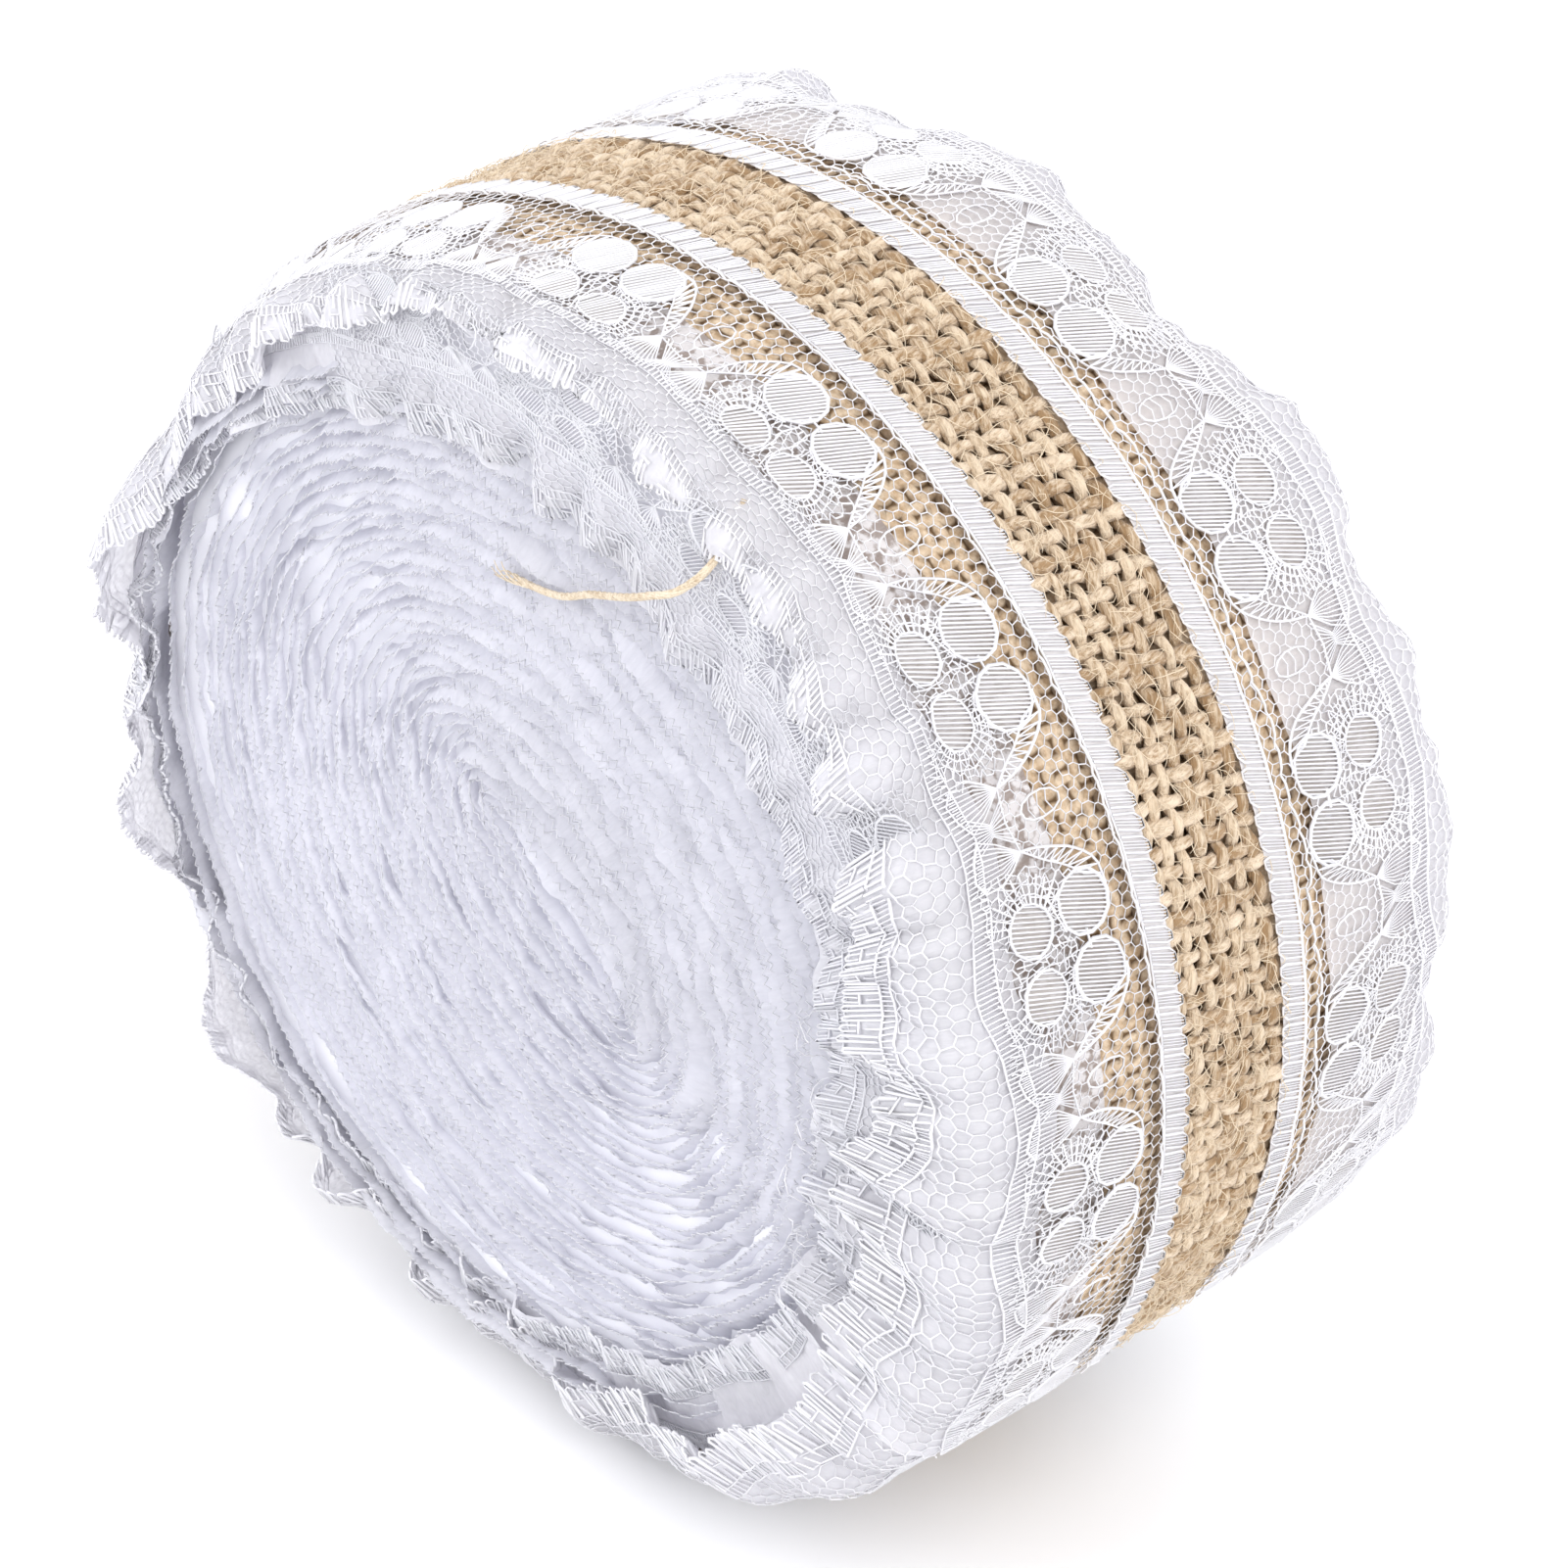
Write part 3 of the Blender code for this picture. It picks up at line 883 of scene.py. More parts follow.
class WrapTree:
    """Repeats flat work in a row and lays the row on a guide surface as round threads."""

    NAME = "flat_work_on_guide"
    INPUTS = (
        ("Work", "NodeSocketObject"),
        ("Guide", "NodeSocketObject"),
        ("Repeats", "NodeSocketInt"),
        ("Repeat Length", "NodeSocketFloat"),
        ("Start", "NodeSocketFloat"),
        ("Guide Length", "NodeSocketFloat"),
        ("Guide Low", "NodeSocketFloat"),
        ("Guide Width", "NodeSocketFloat"),
        ("Lift", "NodeSocketFloat"),
        ("Wander", "NodeSocketFloat"),
        ("Wander Size", "NodeSocketFloat"),
        ("Sides", "NodeSocketInt"),
        ("Flatness", "NodeSocketFloat"),
        ("Merge", "NodeSocketFloat"),
        ("Flip", "NodeSocketBool"),
        ("Material", "NodeSocketMaterial"),
    )

    @classmethod
    def tree(cls) -> bpy.types.NodeTree:
        """The tree, built once."""
        made = bpy.data.node_groups.get(cls.NAME)
        if made is not None:
            return made
        nodes, given, end = group_tree(cls.NAME, cls.INPUTS)
        work = nodes.add("GeometryNodeObjectInfo", {"Object": given["Work"]}).outputs["Geometry"]
        curve = nodes.add("GeometryNodeMeshToCurve", {"Mesh": work}).outputs[0]
        profile = {"Resolution": given["Sides"], "Radius": 0.5}
        circle = nodes.add("GeometryNodeCurvePrimitiveCircle", profile).outputs[0]
        width = nodes.attribute(WIDTH_ATTRIBUTE, "FLOAT")
        swept = {"Curve": curve, "Profile Curve": circle, "Scale": width, "Fill Caps": False}
        tube = nodes.add("GeometryNodeCurveToMesh", swept).outputs[0]
        spacing = {"Count": given["Repeats"], "Start Location": nodes.joined(given["Start"]),
                   "Offset": nodes.joined(given["Repeat Length"])}
        line = nodes.add("GeometryNodeMeshLine", spacing, mode="OFFSET").outputs[0]
        laid = {"Points": line, "Instance": tube}
        row = nodes.add("GeometryNodeInstanceOnPoints", laid).outputs[0]
        row = nodes.add("GeometryNodeRealizeInstances", {"Geometry": row}).outputs[0]
        place = nodes.add("GeometryNodeInputPosition").outputs[0]
        coarse = nodes.joined(given["Wander Size"], given["Wander Size"], 1.0)
        noise = nodes.noise(nodes.vector("DIVIDE", place, coarse), 1.0, 1.0).outputs[1]
        wander = nodes.vector("SUBTRACT", noise, HALF_GREY)
        wander = nodes.scaled(wander, nodes.times(given["Wander"], 2.0))
        wander = nodes.vector("MULTIPLY", wander, (1.0, 1.0, 0.4))
        along, across, above = nodes.split(nodes.vector("ADD", place, wander))
        chart = nodes.joined(
            nodes.math("DIVIDE", along, given["Guide Length"]),
            nodes.math("DIVIDE", nodes.minus(across, given["Guide Low"]), given["Guide Width"]),
        )
        height = nodes.plus(nodes.times(above, given["Flatness"]), given["Lift"])
        guide = nodes.add("GeometryNodeObjectInfo", {"Object": given["Guide"]}).outputs["Geometry"]
        kind = "FLOAT_VECTOR"
        lookup = {"Mesh": guide, "UV Map": nodes.attribute(GUIDE_MAP, kind), "Sample UV": chart}
        point, normal = (
            nodes.add("GeometryNodeSampleUVSurface", {**lookup, "Value": source}, data_type=kind)
            for source in (nodes.add("GeometryNodeInputPosition").outputs[0],
                           nodes.attribute(OUTWARD, kind))
        )
        mark = {"Geometry": row, "Name": LAID, "Value": point.outputs["Is Valid"]}
        found = nodes.add("GeometryNodeStoreNamedAttribute", mark, data_type="BOOLEAN").outputs[0]
        raised = nodes.scaled(nodes.vector("NORMALIZE", normal.outputs[0]), height)
        kept = {0: nodes.attribute(LAID, "BOOLEAN")}
        off = nodes.add("FunctionNodeBooleanMath", kept, operation="NOT")
        for step, inputs, settings in (
            ("SetPosition", {"Position": nodes.vector("ADD", point.outputs[0], raised)}, {}),
            ("DeleteGeometry", {"Selection": off.outputs[0]}, {"domain": "POINT"}),
            ("MergeByDistance", {"Distance": given["Merge"]}, {}),
            ("FlipFaces", {"Selection": given["Flip"]}, {}),
            ("SetShadeSmooth", {}, {}),
            ("SetMaterial", {"Material": given["Material"]}, {}),
        ):
            found = nodes.add("GeometryNode" + step, {0: found, **inputs}, **settings).outputs[0]
        nodes.put(end.inputs["Geometry"], found)
        return nodes.tree


@dataclass
class Wrapping:
    """One use of the wrap tree: what is laid, on what, how often and in which finish."""

    name: str
    work: FlatWork
    guide: Guide
    repeats: int
    repeat_length: float
    finish: Finish
    start: float = 0.0
    lift: float = 0.0
    wander: float = 0.0
    wander_size: float = 4.0
    sides: int = 3
    flatness: float = 1.0
    merge: float = 0.0

    def lay(self) -> bpy.types.Object:
        """The laid threads as one object with a plain mesh."""
        flat = self.work.object(self.name + "_flat")
        made = add_object(self.name, bpy.data.meshes.new(self.name))
        modifier = made.modifiers.new("wrap", "NODES")
        modifier.node_group = WrapTree.tree()
        values = {
            "Work": flat, "Guide": self.guide.object, "Repeats": self.repeats,
            "Repeat Length": self.repeat_length * MM, "Start": self.start * MM,
            "Guide Length": self.guide.length * MM, "Guide Low": self.guide.low * MM,
            "Guide Width": (self.guide.high - self.guide.low) * MM,
            "Lift": self.lift * MM, "Wander": self.wander * MM,
            "Wander Size": self.wander_size * MM,
            "Sides": self.sides, "Flatness": self.flatness, "Merge": self.merge * MM,
            "Flip": self.guide.flipped, "Material": self.finish.material(),
        }
        for label, value in values.items():
            set_input(modifier, label, value)
        settle(made)
        drop_object(flat)
        return made


def settle(item: bpy.types.Object) -> None:
    """Swap an object's modifiers for the plain mesh that they make."""
    ready = item.evaluated_get(bpy.context.evaluated_depsgraph_get())
    mesh = bpy.data.meshes.new_from_object(ready)
    item.modifiers.clear()
    old, item.data = item.data, mesh
    bpy.data.meshes.remove(old)
    for spare in (LAID, WIDTH_ATTRIBUTE):
        if spare in mesh.attributes:
            mesh.attributes.remove(mesh.attributes[spare])


def finish_piece(item: bpy.types.Object, node: str) -> bpy.types.Object:
    """Tie a finished piece to the roll and to the frame's node that it stands for."""
    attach(item, BODY)
    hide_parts(node)
    count = sum(len(face.vertices) - 2 for face in item.data.polygons) if item.type == "MESH" else 0
    log.info("%s: %d triangles", item.name, count)
    return item


# --------------------------------------------------------------------------- the lace's pattern


@dataclass(frozen=True)
class LacePattern:
    """One repeat of the lace, drawn by rule from its ladder edge to its looped border.

    x runs along the lace from the middle of a motif, and y across it from the ladder's
    outer edge.
    """

    repeat: float = 24.7
    blocks: int = 9
    ladder_blocks: int = 12
    width: float = 33.0
    apex: tuple[float, float] = (9.5, 13.0)
    petal: tuple[float, float] = (3.15, 8.5)
    petal_half: tuple[float, float] = (2.85, 2.75)
    low_petal: tuple[float, float] = (3.0, 14.4)
    low_half: tuple[float, float] = (2.4, 2.15)
    ladder_width: float = 3.05
    band_start: float = 18.4
    band_width: float = 1.8
    band_threads: int = 52
    rail: tuple[float, float] = (27.3, 28.8)
    rail_threads: int = 48
    scallop: float = 2.3
    slant: float = -0.4
    border_slant: float = 0.3
    strays: int = 14

    @property
    def half(self) -> float:
        """Half a repeat."""
        return self.repeat / 2.0

    @property
    def block(self) -> float:
        """Length of one block of the border."""
        return self.repeat / self.blocks

    def middles(self, parts: int) -> np.ndarray:
        """Middles of equal parts of the repeat, along the lace."""
        return -self.half + (np.arange(parts) + 0.5) * self.repeat / parts

    def motif_top(self, x: np.ndarray) -> np.ndarray:
        """Where the motif starts across the lace, by place along it."""
        stops = (0.0, 0.6, 1.6, 3.2, 5.2, 6.9, 8.3, 9.1, 9.5)
        tops = (8.2, 7.6, 6.0, 5.6, 5.6, 6.8, 9.0, 11.4, 13.6)
        return np.interp(np.abs(x), stops, tops)

    def drop(self, x: np.ndarray) -> np.ndarray:
        """How far the border is drawn back from the motif's middle towards the junction."""
        wrapped = (np.asarray(x, float) + self.half) % self.repeat - self.half
        return -self.scallop * (0.5 - 0.5 * np.cos(np.pi * wrapped / self.half))

    def stray_threads(self) -> FlatWork:
        """A few loose ends that curl up from the border."""
        work, rng = FlatWork(), np.random.default_rng(71)
        for _ in range(self.strays):
            x, y, z = rng.uniform(-26.0, 26.0), rng.uniform(30.5, 33.0), 0.2
            heading, bend = rng.uniform(0.4, 2.6), rng.normal(0.0, 0.55)
            line = []
            for step in range(10):
                line.append((x, y, z))
                x, y = x + 0.85 * math.cos(heading), min(34.8, y + 0.85 * math.sin(heading))
                z += 0.10 + 0.20 * math.sin(step * 0.9)
                heading += bend
                bend += rng.normal(0.0, 0.3)
            work.thread(line, 0.13)
        return work

    def ladder(self, work: FlatWork) -> None:
        """The satin ladder with its scalloped outer edge."""
        edge = self.repeat / self.ladder_blocks * 0.33
        inner = self.ladder_width - 0.1
        outline = [(-edge, inner), (-edge * 1.1, 0.8), (-edge * 0.55, 0.0), (edge * 0.55, 0.0),
                   (edge * 1.1, 0.8), (edge, inner)]
        for middle in self.middles(self.ladder_blocks):
            work.thread([(middle + x + self.slant * (y - 1.5), y) for x, y in outline], 0.31)
            for share in (-0.42, 0.0, 0.42):
                x = middle + share * edge
                work.thread([(x - 1.2 * self.slant, 0.3), (x + 1.4 * self.slant, 2.9)], 0.16)
        x = np.linspace(-self.half, self.half, 13)
        work.thread(points_of(x, self.ladder_width), 0.34)

    def motif(self, work: FlatWork) -> None:
        """Two round petals held in a pair of curved bands, over a second pair."""
        work.petal(self.petal, self.petal_half, 0.42, 0.24, 14, self.slant)
        y = self.petal[1] + 0.4
        work.thread([(-0.9, y), (0.9, y)], 0.30)
        work.petal(self.low_petal, self.low_half, 0.34, 0.22, 11, self.slant)
        outer = smooth_line([self.apex, (9.0, 10.6), (7.7, 7.9), (5.9, 6.0), (3.6, 5.7)], 12)
        inner = smooth_line([self.apex, (8.1, 11.2), (6.7, 9.2), (5.3, 7.7)], 12)
        work.both(outer, 0.32)
        work.both(inner, 0.26)
        for index in range(1, 11):
            work.both([outer[index], inner[index]], 0.20)
            work.both([outer[index], inner[index + 1]], 0.18)
        lx, ly = self.low_petal
        for radius, width in ((3.0, 0.20), (3.8, 0.17)):
            angle = np.radians(np.linspace(-80.0, 75.0, 7))
            work.both(points_of(lx + radius * np.cos(angle) * 1.08,
                                ly + radius * np.sin(angle) * 0.95), width)
        for degree in np.arange(-70.0, 80.0, 12.0):
            angle = math.radians(degree)
            work.both([(lx + 2.3 * math.cos(angle), ly + 2.0 * math.sin(angle)),
                       (lx + 4.9 * math.cos(angle + 0.1), ly + 4.3 * math.sin(angle + 0.1))], 0.22)
        for y in (11.0, 11.8, 12.6):
            work.thread([(-1.3, y + 0.3), (-0.5, y - 0.2), (0.5, y + 0.1), (1.3, y - 0.1)], 0.17)
        work.both(smooth_line([(0.5, 10.4), (0.85, 12.0), (0.35, 14.2), (0.75, 16.6)], 5), 0.2)
        work.both(smooth_line([(1.5, 11.0), (3.0, 11.6), (4.8, 11.9), (6.6, 10.4)], 6), 0.2)
        for x in np.arange(1.8, 6.4, 0.55):
            work.both([(x, 11.0 + 0.1 * (x - 3.0)), (x + 0.15, 12.3)], 0.16)

    def junction(self, work: FlatWork) -> None:
        """The two hatched leaves between motifs, with an oval loop above them."""
        start = self.apex
        for share in np.linspace(0.0, 1.0, 9):
            end = (8.0 + 4.0 * share, 17.9 - 1.0 * share * share)
            work.both([start, (0.5 * (start[0] + end[0]) + 0.9 * (share - 0.5), 15.2), end], 0.20)
        edge = smooth_line([start, (7.7, 15.6), (8.0, 17.9), (10.2, 17.9), (12.0, 16.9)], 7)
        work.both(edge, 0.28)
        for share in np.linspace(-1.0, 1.0, 9):
            work.thread([(self.half + 2.2 * share, 13.2 - 0.4 * share * share),
                         (self.half + 0.5 * share, 15.0), (self.half + 1.6 * share, 17.0)], 0.19)
        work.thread([(self.half - 2.9, 13.0), (self.half, 13.5), (self.half + 2.9, 13.0)], 0.24)
        work.thread(oval((self.half, 9.6), (1.1, 2.2), 11), 0.25, True)
        for y in (8.4, 9.4, 10.5):
            work.thread([(self.half - 1.0, y), (self.half, y + 0.45), (self.half + 1.0, y)], 0.15)

    def nets(self, work: FlatWork) -> None:
        """The plain net beside the ladder and the smaller nets between the figures."""
        cell = self.repeat / 21.0

        def clear_of(x: np.ndarray, y: np.ndarray, centre: tuple, half: tuple) -> np.ndarray:
            """Whether a place lies outside an oval and its mirror image."""
            return ((np.abs(x) - centre[0]) / half[0]) ** 2 + ((y - centre[1]) / half[1]) ** 2 > 1.0

        def beside_ladder(x: np.ndarray, y: np.ndarray) -> np.ndarray:
            """Whether the plain net shows at a place."""
            clear = clear_of(x, y, (self.half, 9.6), (1.2, 2.35))
            return clear & (y < self.motif_top(x)) & (y < 13.4)

        def in_motif(x: np.ndarray, y: np.ndarray) -> np.ndarray:
            """Whether the small net shows inside the motif."""
            clear = clear_of(x, y, self.petal, self.petal_half)
            clear &= clear_of(x, y, self.low_petal, self.low_half)
            top = self.motif_top(x) + 1.5 + 1.0 * (np.abs(x) > 5.8)
            return clear & (y > top) & (y < 18.6) & (np.abs(x) < 8.3)

        def under_band(x: np.ndarray, y: np.ndarray) -> np.ndarray:
            """Whether the net between the two bands shows."""
            return (y > self.band(x) + 1.9) & (y < 27.2 + self.drop(x))

        side = cell / math.sqrt(3.0)
        work.net(cell, 3.35 + 0.25 * side, 10, self.half, beside_ladder, 0.14, 0.07, 3)
        work.net(self.repeat / 28.0, 9.0, 13, self.half, in_motif, 0.19, 0.15, 5)
        work.net(self.repeat / 18.0, 18.6, 7, self.half, under_band, 0.16, 0.08, 7)

    def band(self, x: np.ndarray) -> np.ndarray:
        """Where the curved band below the motifs starts across the lace."""
        turn = 2.0 * np.pi * (np.asarray(x, float) + self.half) / self.repeat - np.pi
        return self.band_start - 1.5 * (0.5 - 0.5 * np.cos(turn))

    def fold_band(self, work: FlatWork) -> None:
        """The band of close threads that curves below the motifs."""
        for x in self.middles(self.band_threads):
            top = self.band(x)
            work.thread([(x, top), (x, top + self.band_width)], 0.22)
        x = np.linspace(-self.half, self.half, 13)
        for across in (0.0, self.band_width):
            work.thread(points_of(x, self.band(x) + across), 0.26)

    def border(self, work: FlatWork) -> None:
        """The rail and the row of blocks along the outer edge."""
        low, high = self.rail
        x = np.linspace(-self.half, self.half, 15)
        for across in self.rail:
            work.thread(points_of(x, across + self.drop(x)), 0.28)
        for x in self.middles(self.rail_threads):
            drop = self.drop(x)
            work.thread([(x, low + drop), (x + 1.5 * self.border_slant, high + drop)], 0.22)
        for x in self.middles(self.blocks):
            drop = self.drop(x)
            work.block(x, high + drop, self.width + drop, self.block / 2.0, 0.35,
                       self.border_slant)

    def drawn(self, *parts: Callable[[FlatWork], None]) -> FlatWork:
        """One repeat made of some of the pattern's parts, in their order."""
        work = FlatWork()
        for part in parts:
            part(work)
        return work

    def whole(self) -> FlatWork:
        """All of one repeat."""
        return self.drawn(self.ladder, self.motif, self.junction, self.nets, self.fold_band,
                          self.border)

    def without_ladder(self) -> FlatWork:
        """One repeat without its ladder."""
        return self.drawn(self.motif, self.junction, self.nets, self.fold_band, self.border)

    def outer_part(self) -> FlatWork:
        """One repeat without its ladder, its motif and its nets."""
        return self.drawn(self.junction, self.fold_band, self.border)


PATTERN = LacePattern()
LACE_REPEATS = 16
MOTIF_DIRECTION = 1.25


def lace_length(degrees: np.ndarray | float) -> np.ndarray | float:
    """Length of flat lace, in millimetres, that lies over an angle round the roll."""
    return degrees / FULL_TURN * LACE_REPEATS * PATTERN.repeat


# --------------------------------------------------------------------------- laying the lace


@dataclass(frozen=True)
class LaceLay:
    """How one turn of a lace edging lies over the rim and round its corner.

    Each row gives a direction, where the lace starts beside the middle plane, how far the
    corner stands out, how far it is drawn in from the rim, and where the outer edge lies.
    """

    side: Side
    rows: tuple
    first: float = 0.0
    even_to: float = 15.0
    sunk: float = 0.0
    corner: float = 5.5
    ruffle: float = 0.9
    seed: int = 11
    last: float = 35.0
    ground_finish: Finish = GROUND

    def paths(self, direction: np.ndarray, across: np.ndarray) -> np.ndarray:
        """Radius and distance from the middle plane for each direction and flat place."""
        table = round_the_roll(self.rows, direction)
        rim = FORM.rim(direction) - self.sunk
        found = np.zeros((len(direction), np.shape(across)[-1], 2))
        t = np.linspace(0.0, 1.0, 14)[:, None]
        across = np.broadcast_to(across, (len(direction), np.shape(across)[-1]))
        for index, (start, knee_reach, knee_drop, edge_reach, edge_radius) in enumerate(table):
            begin = np.array([rim[index] + 0.12, start])
            bend = np.array([rim[index], max(start + 0.5, min(17.0, knee_reach - 6.0))])
            knee = np.array([rim[index] - knee_drop, knee_reach])
            edge = np.array([edge_radius, edge_reach])
            back, on = bend - knee, edge - knee
            back *= min(0.9, self.corner / max(np.linalg.norm(back), TINY))
            on *= min(0.75, self.corner / max(np.linalg.norm(on), TINY))
            curve = (1 - t) ** 2 * (knee + back) + 2 * t * (1 - t) * knee + t ** 2 * (knee + on)
            last = edge - (knee + on)
            heading = last / max(np.linalg.norm(last), TINY)
            line = np.vstack([begin, bend, curve, edge, edge + heading * 5.0])
            reach = lengths_along(line)
            whole = reach[-2]
            even = max(0.0, self.even_to - self.first)
            flat = across[index] - self.first
            gathered = even + (flat - even) * (whole - even) / (PATTERN.width - self.first - even)
            wanted = np.where(flat <= even, flat, gathered)
            found[index, :, 0] = np.interp(wanted, reach, line[:, 0])
            found[index, :, 1] = np.interp(wanted, reach, line[:, 1])
        return found

    def surface(self, direction: np.ndarray, across: np.ndarray,
                below: float | np.ndarray = 0.0) -> tuple[np.ndarray, np.ndarray]:
        """The lace's surface with its waves.

        Args:
            direction: unwound direction of each row.
            across: flat places across the lace, the same for all rows or one set for each.
            below: how far under the surface the points lie.

        Returns:
            Points in metres and a rough outward direction for each.
        """
        across = np.broadcast_to(across, (len(direction), np.shape(across)[-1]))
        path = self.paths(direction, across)
        radius, reach = path[..., 0], path[..., 1]
        sign = self.side.value
        flat = FORM.place(direction[:, None], radius, reach * sign)
        slope = np.gradient(path, axis=1)
        slope /= np.maximum(np.linalg.norm(slope, axis=2, keepdims=True), TINY)
        away_radius, away_reach = slope[..., 1], -slope[..., 0]
        grown = eased(14.0, 31.0, across) * self.ruffle
        arc = direction[:, None] * math.pi / 180.0 * LACE_RADIUS
        wave = Ripple(self.seed, (7.0, 22.0), 0.06).at(arc, across)
        small = Ripple(self.seed + 1, (2.5, 6.0), 0.5).at(arc, across)
        shift = grown * (wave * 0.85 + small * 0.22) + 0.05 * small - below
        radius = radius + shift * away_radius
        reach = reach + shift * away_reach
        points = FORM.place(direction[:, None], radius, reach * sign, 0.7)
        above = FORM.place(direction[:, None], radius + away_radius, (reach + away_reach) * sign)
        return points, above - flat

    def guide(self, name: str, start: float, end: float, step: float = 0.6,
              columns: int = 44) -> Guide:
        """The surface that this turn's threads are laid on.

        Args:
            name: name of the working object.
            start: unwound direction where the guide begins.
            end: unwound direction where it ends.
            step: degrees between its rows.
            columns: how many points it has across.

        Returns:
            The guide.
        """
        direction = np.linspace(start, end, round((end - start) / step) + 1)
        across = np.linspace(self.first - 0.6, self.last, columns)
        points, outward = self.surface(direction, across)
        return Guide(name, points, across, lace_length(direction - start), outward)

    def band(self, name: str, low: float, high: float, depth: float) -> bpy.types.Object:
        """A straight band of close ground under part of the outermost turn.

        Args:
            name: name of the piece.
            low: where it starts across the lace.
            high: where it ends across the lace.
            depth: how far it lies under the threads' surface.

        Returns:
            The band, mapped in millimetres.
        """
        start, end = FORM.first_direction, FORM.end_direction - CUT_MARGIN
        direction = np.linspace(start, end, round((end - start) / 1.2) + 1)
        across = np.linspace(low, high, 4)
        points, outward = self.surface(direction, across, depth)
        guide = Guide(name, points, across, lace_length(direction - start), outward)
        return guide.keep(self.ground_finish, high - low)

    def ground(self, name: str, end: float, inner: float, swell: float) -> bpy.types.Object:
        """The close ground that fills the lace between its figures, just under its threads.

        Args:
            name: name of the piece.
            end: unwound direction where it ends.
            inner: how far across the lace it starts at a junction between motifs.
            swell: how much farther across it starts at a motif's middle.

        Returns:
            The ground, mapped in millimetres.
        """
        start = FORM.first_direction
        direction = np.linspace(start, end, round(end - start) + 1)
        x = lace_length(direction - MOTIF_DIRECTION)
        begin = inner + swell * (0.5 + 0.5 * np.cos(2.0 * np.pi * x / PATTERN.repeat))
        finish = PATTERN.width - 0.5 + PATTERN.drop(x)
        share = np.linspace(0.0, 1.0, 16)
        across = begin[:, None] + (finish - begin)[:, None] * share[None, :]
        depth = 0.3 * (1.0 - 0.65 * eased(17.0, 22.0, across))
        points, outward = self.surface(direction, across, depth)
        guide = Guide(name, points, share, x - x[0], outward)
        return guide.keep(self.ground_finish, PATTERN.width - inner)

    def petal_grounds(self, name: str) -> bpy.types.Object:
        """A backing behind each hatched petal of the outermost turn, in grey-brown: the hessian's
        tan with painted shade.

        Args:
            name: name of the piece.

        Returns:
            The backings, as one piece of separate ovals mapped in millimetres.
        """
        start, end = FORM.first_direction, FORM.end_direction - CUT_MARGIN
        per_mm = FULL_TURN / LACE_REPEATS / PATTERN.repeat
        ovals = (PATTERN.petal, PATTERN.petal_half), (PATTERN.low_petal, PATTERN.low_half)
        points, faces, chart = [], [], []
        for number in range(-LACE_REPEATS, LACE_REPEATS):
            middle = MOTIF_DIRECTION + number * FULL_TURN / LACE_REPEATS
            for ((px, py), half), way in itertools.product(ovals, (-1.0, 1.0)):
                centre = (way * px, py)
                x, y = np.vstack([oval(centre, half, PETAL_CORNERS), centre]).T
                direction = middle + x * per_mm
                if direction.min() < start or direction.max() > end:
                    continue
                laid, _ = self.surface(direction, points_of(y, y + 0.3), 0.16)
                first = len(points)
                points.extend(laid[:, 0])
                chart.extend(zip(x, y))
                for corner in range(PETAL_CORNERS):
                    after = (corner + 1) % PETAL_CORNERS
                    face = [first + PETAL_CORNERS, first + corner, first + after]
                    faces.append(face[::int(self.side.value)])
        mesh = make_mesh(name, points, faces)
        chart_faces(mesh, [chart[corner] for face in faces for corner in face])
        return made_of(mesh, PETAL_SHADE_GROUND)


NEAR_OUTER_ROWS = (
    # direction, start, knee reach, knee drop, edge reach, edge radius
    (0.0, 5.7, 29.0, 1.5, 28.2, 59.5),
    (28.0, 5.7, 29.6, 0.9, 28.4, 59.3),
    (47.0, 5.7, 30.4, 0.5, 29.2, 56.5),
    (58.0, 5.7, 30.9, 0.4, 29.9, 51.8),
    (71.0, 5.7, 31.0, 0.4, 30.4, 48.2),
    (80.0, 5.7, 31.0, 0.5, 30.2, 48.0),
    (93.0, 5.7, 30.6, 0.5, 29.4, 44.0),
    (107.0, 5.7, 30.4, 0.6, 29.4, 47.0),
    (120.0, 5.7, 30.2, 0.8, 29.6, 48.0),
    (130.0, 5.7, 29.8, 0.8, 32.0, 50.0),
    (142.0, 5.7, 29.8, 1.2, 33.4, 51.0),
    (160.0, 5.7, 28.4, 2.6, 30.0, 49.5),
    (182.0, 5.7, 27.4, 4.0, 29.0, 49.0),
    (200.0, 5.7, 27.8, 4.2, 30.0, 50.0),
    (215.0, 5.7, 27.8, 3.4, 32.6, 51.0),
    (229.0, 5.7, 27.8, 2.6, 34.8, 51.5),
    (241.0, 5.7, 27.0, 3.8, 30.4, 50.0),
    (256.0, 5.7, 28.4, 2.8, 36.4, 50.5),
    (269.0, 5.7, 27.4, 4.0, 30.8, 50.0),
    (285.0, 5.7, 28.4, 2.8, 37.8, 51.0),
    (299.0, 5.7, 27.4, 5.2, 30.4, 50.5),
    (318.0, 5.7, 27.4, 4.4, 29.4, 52.0),
    (340.0, 5.7, 28.0, 2.4, 28.6, 56.0),
)
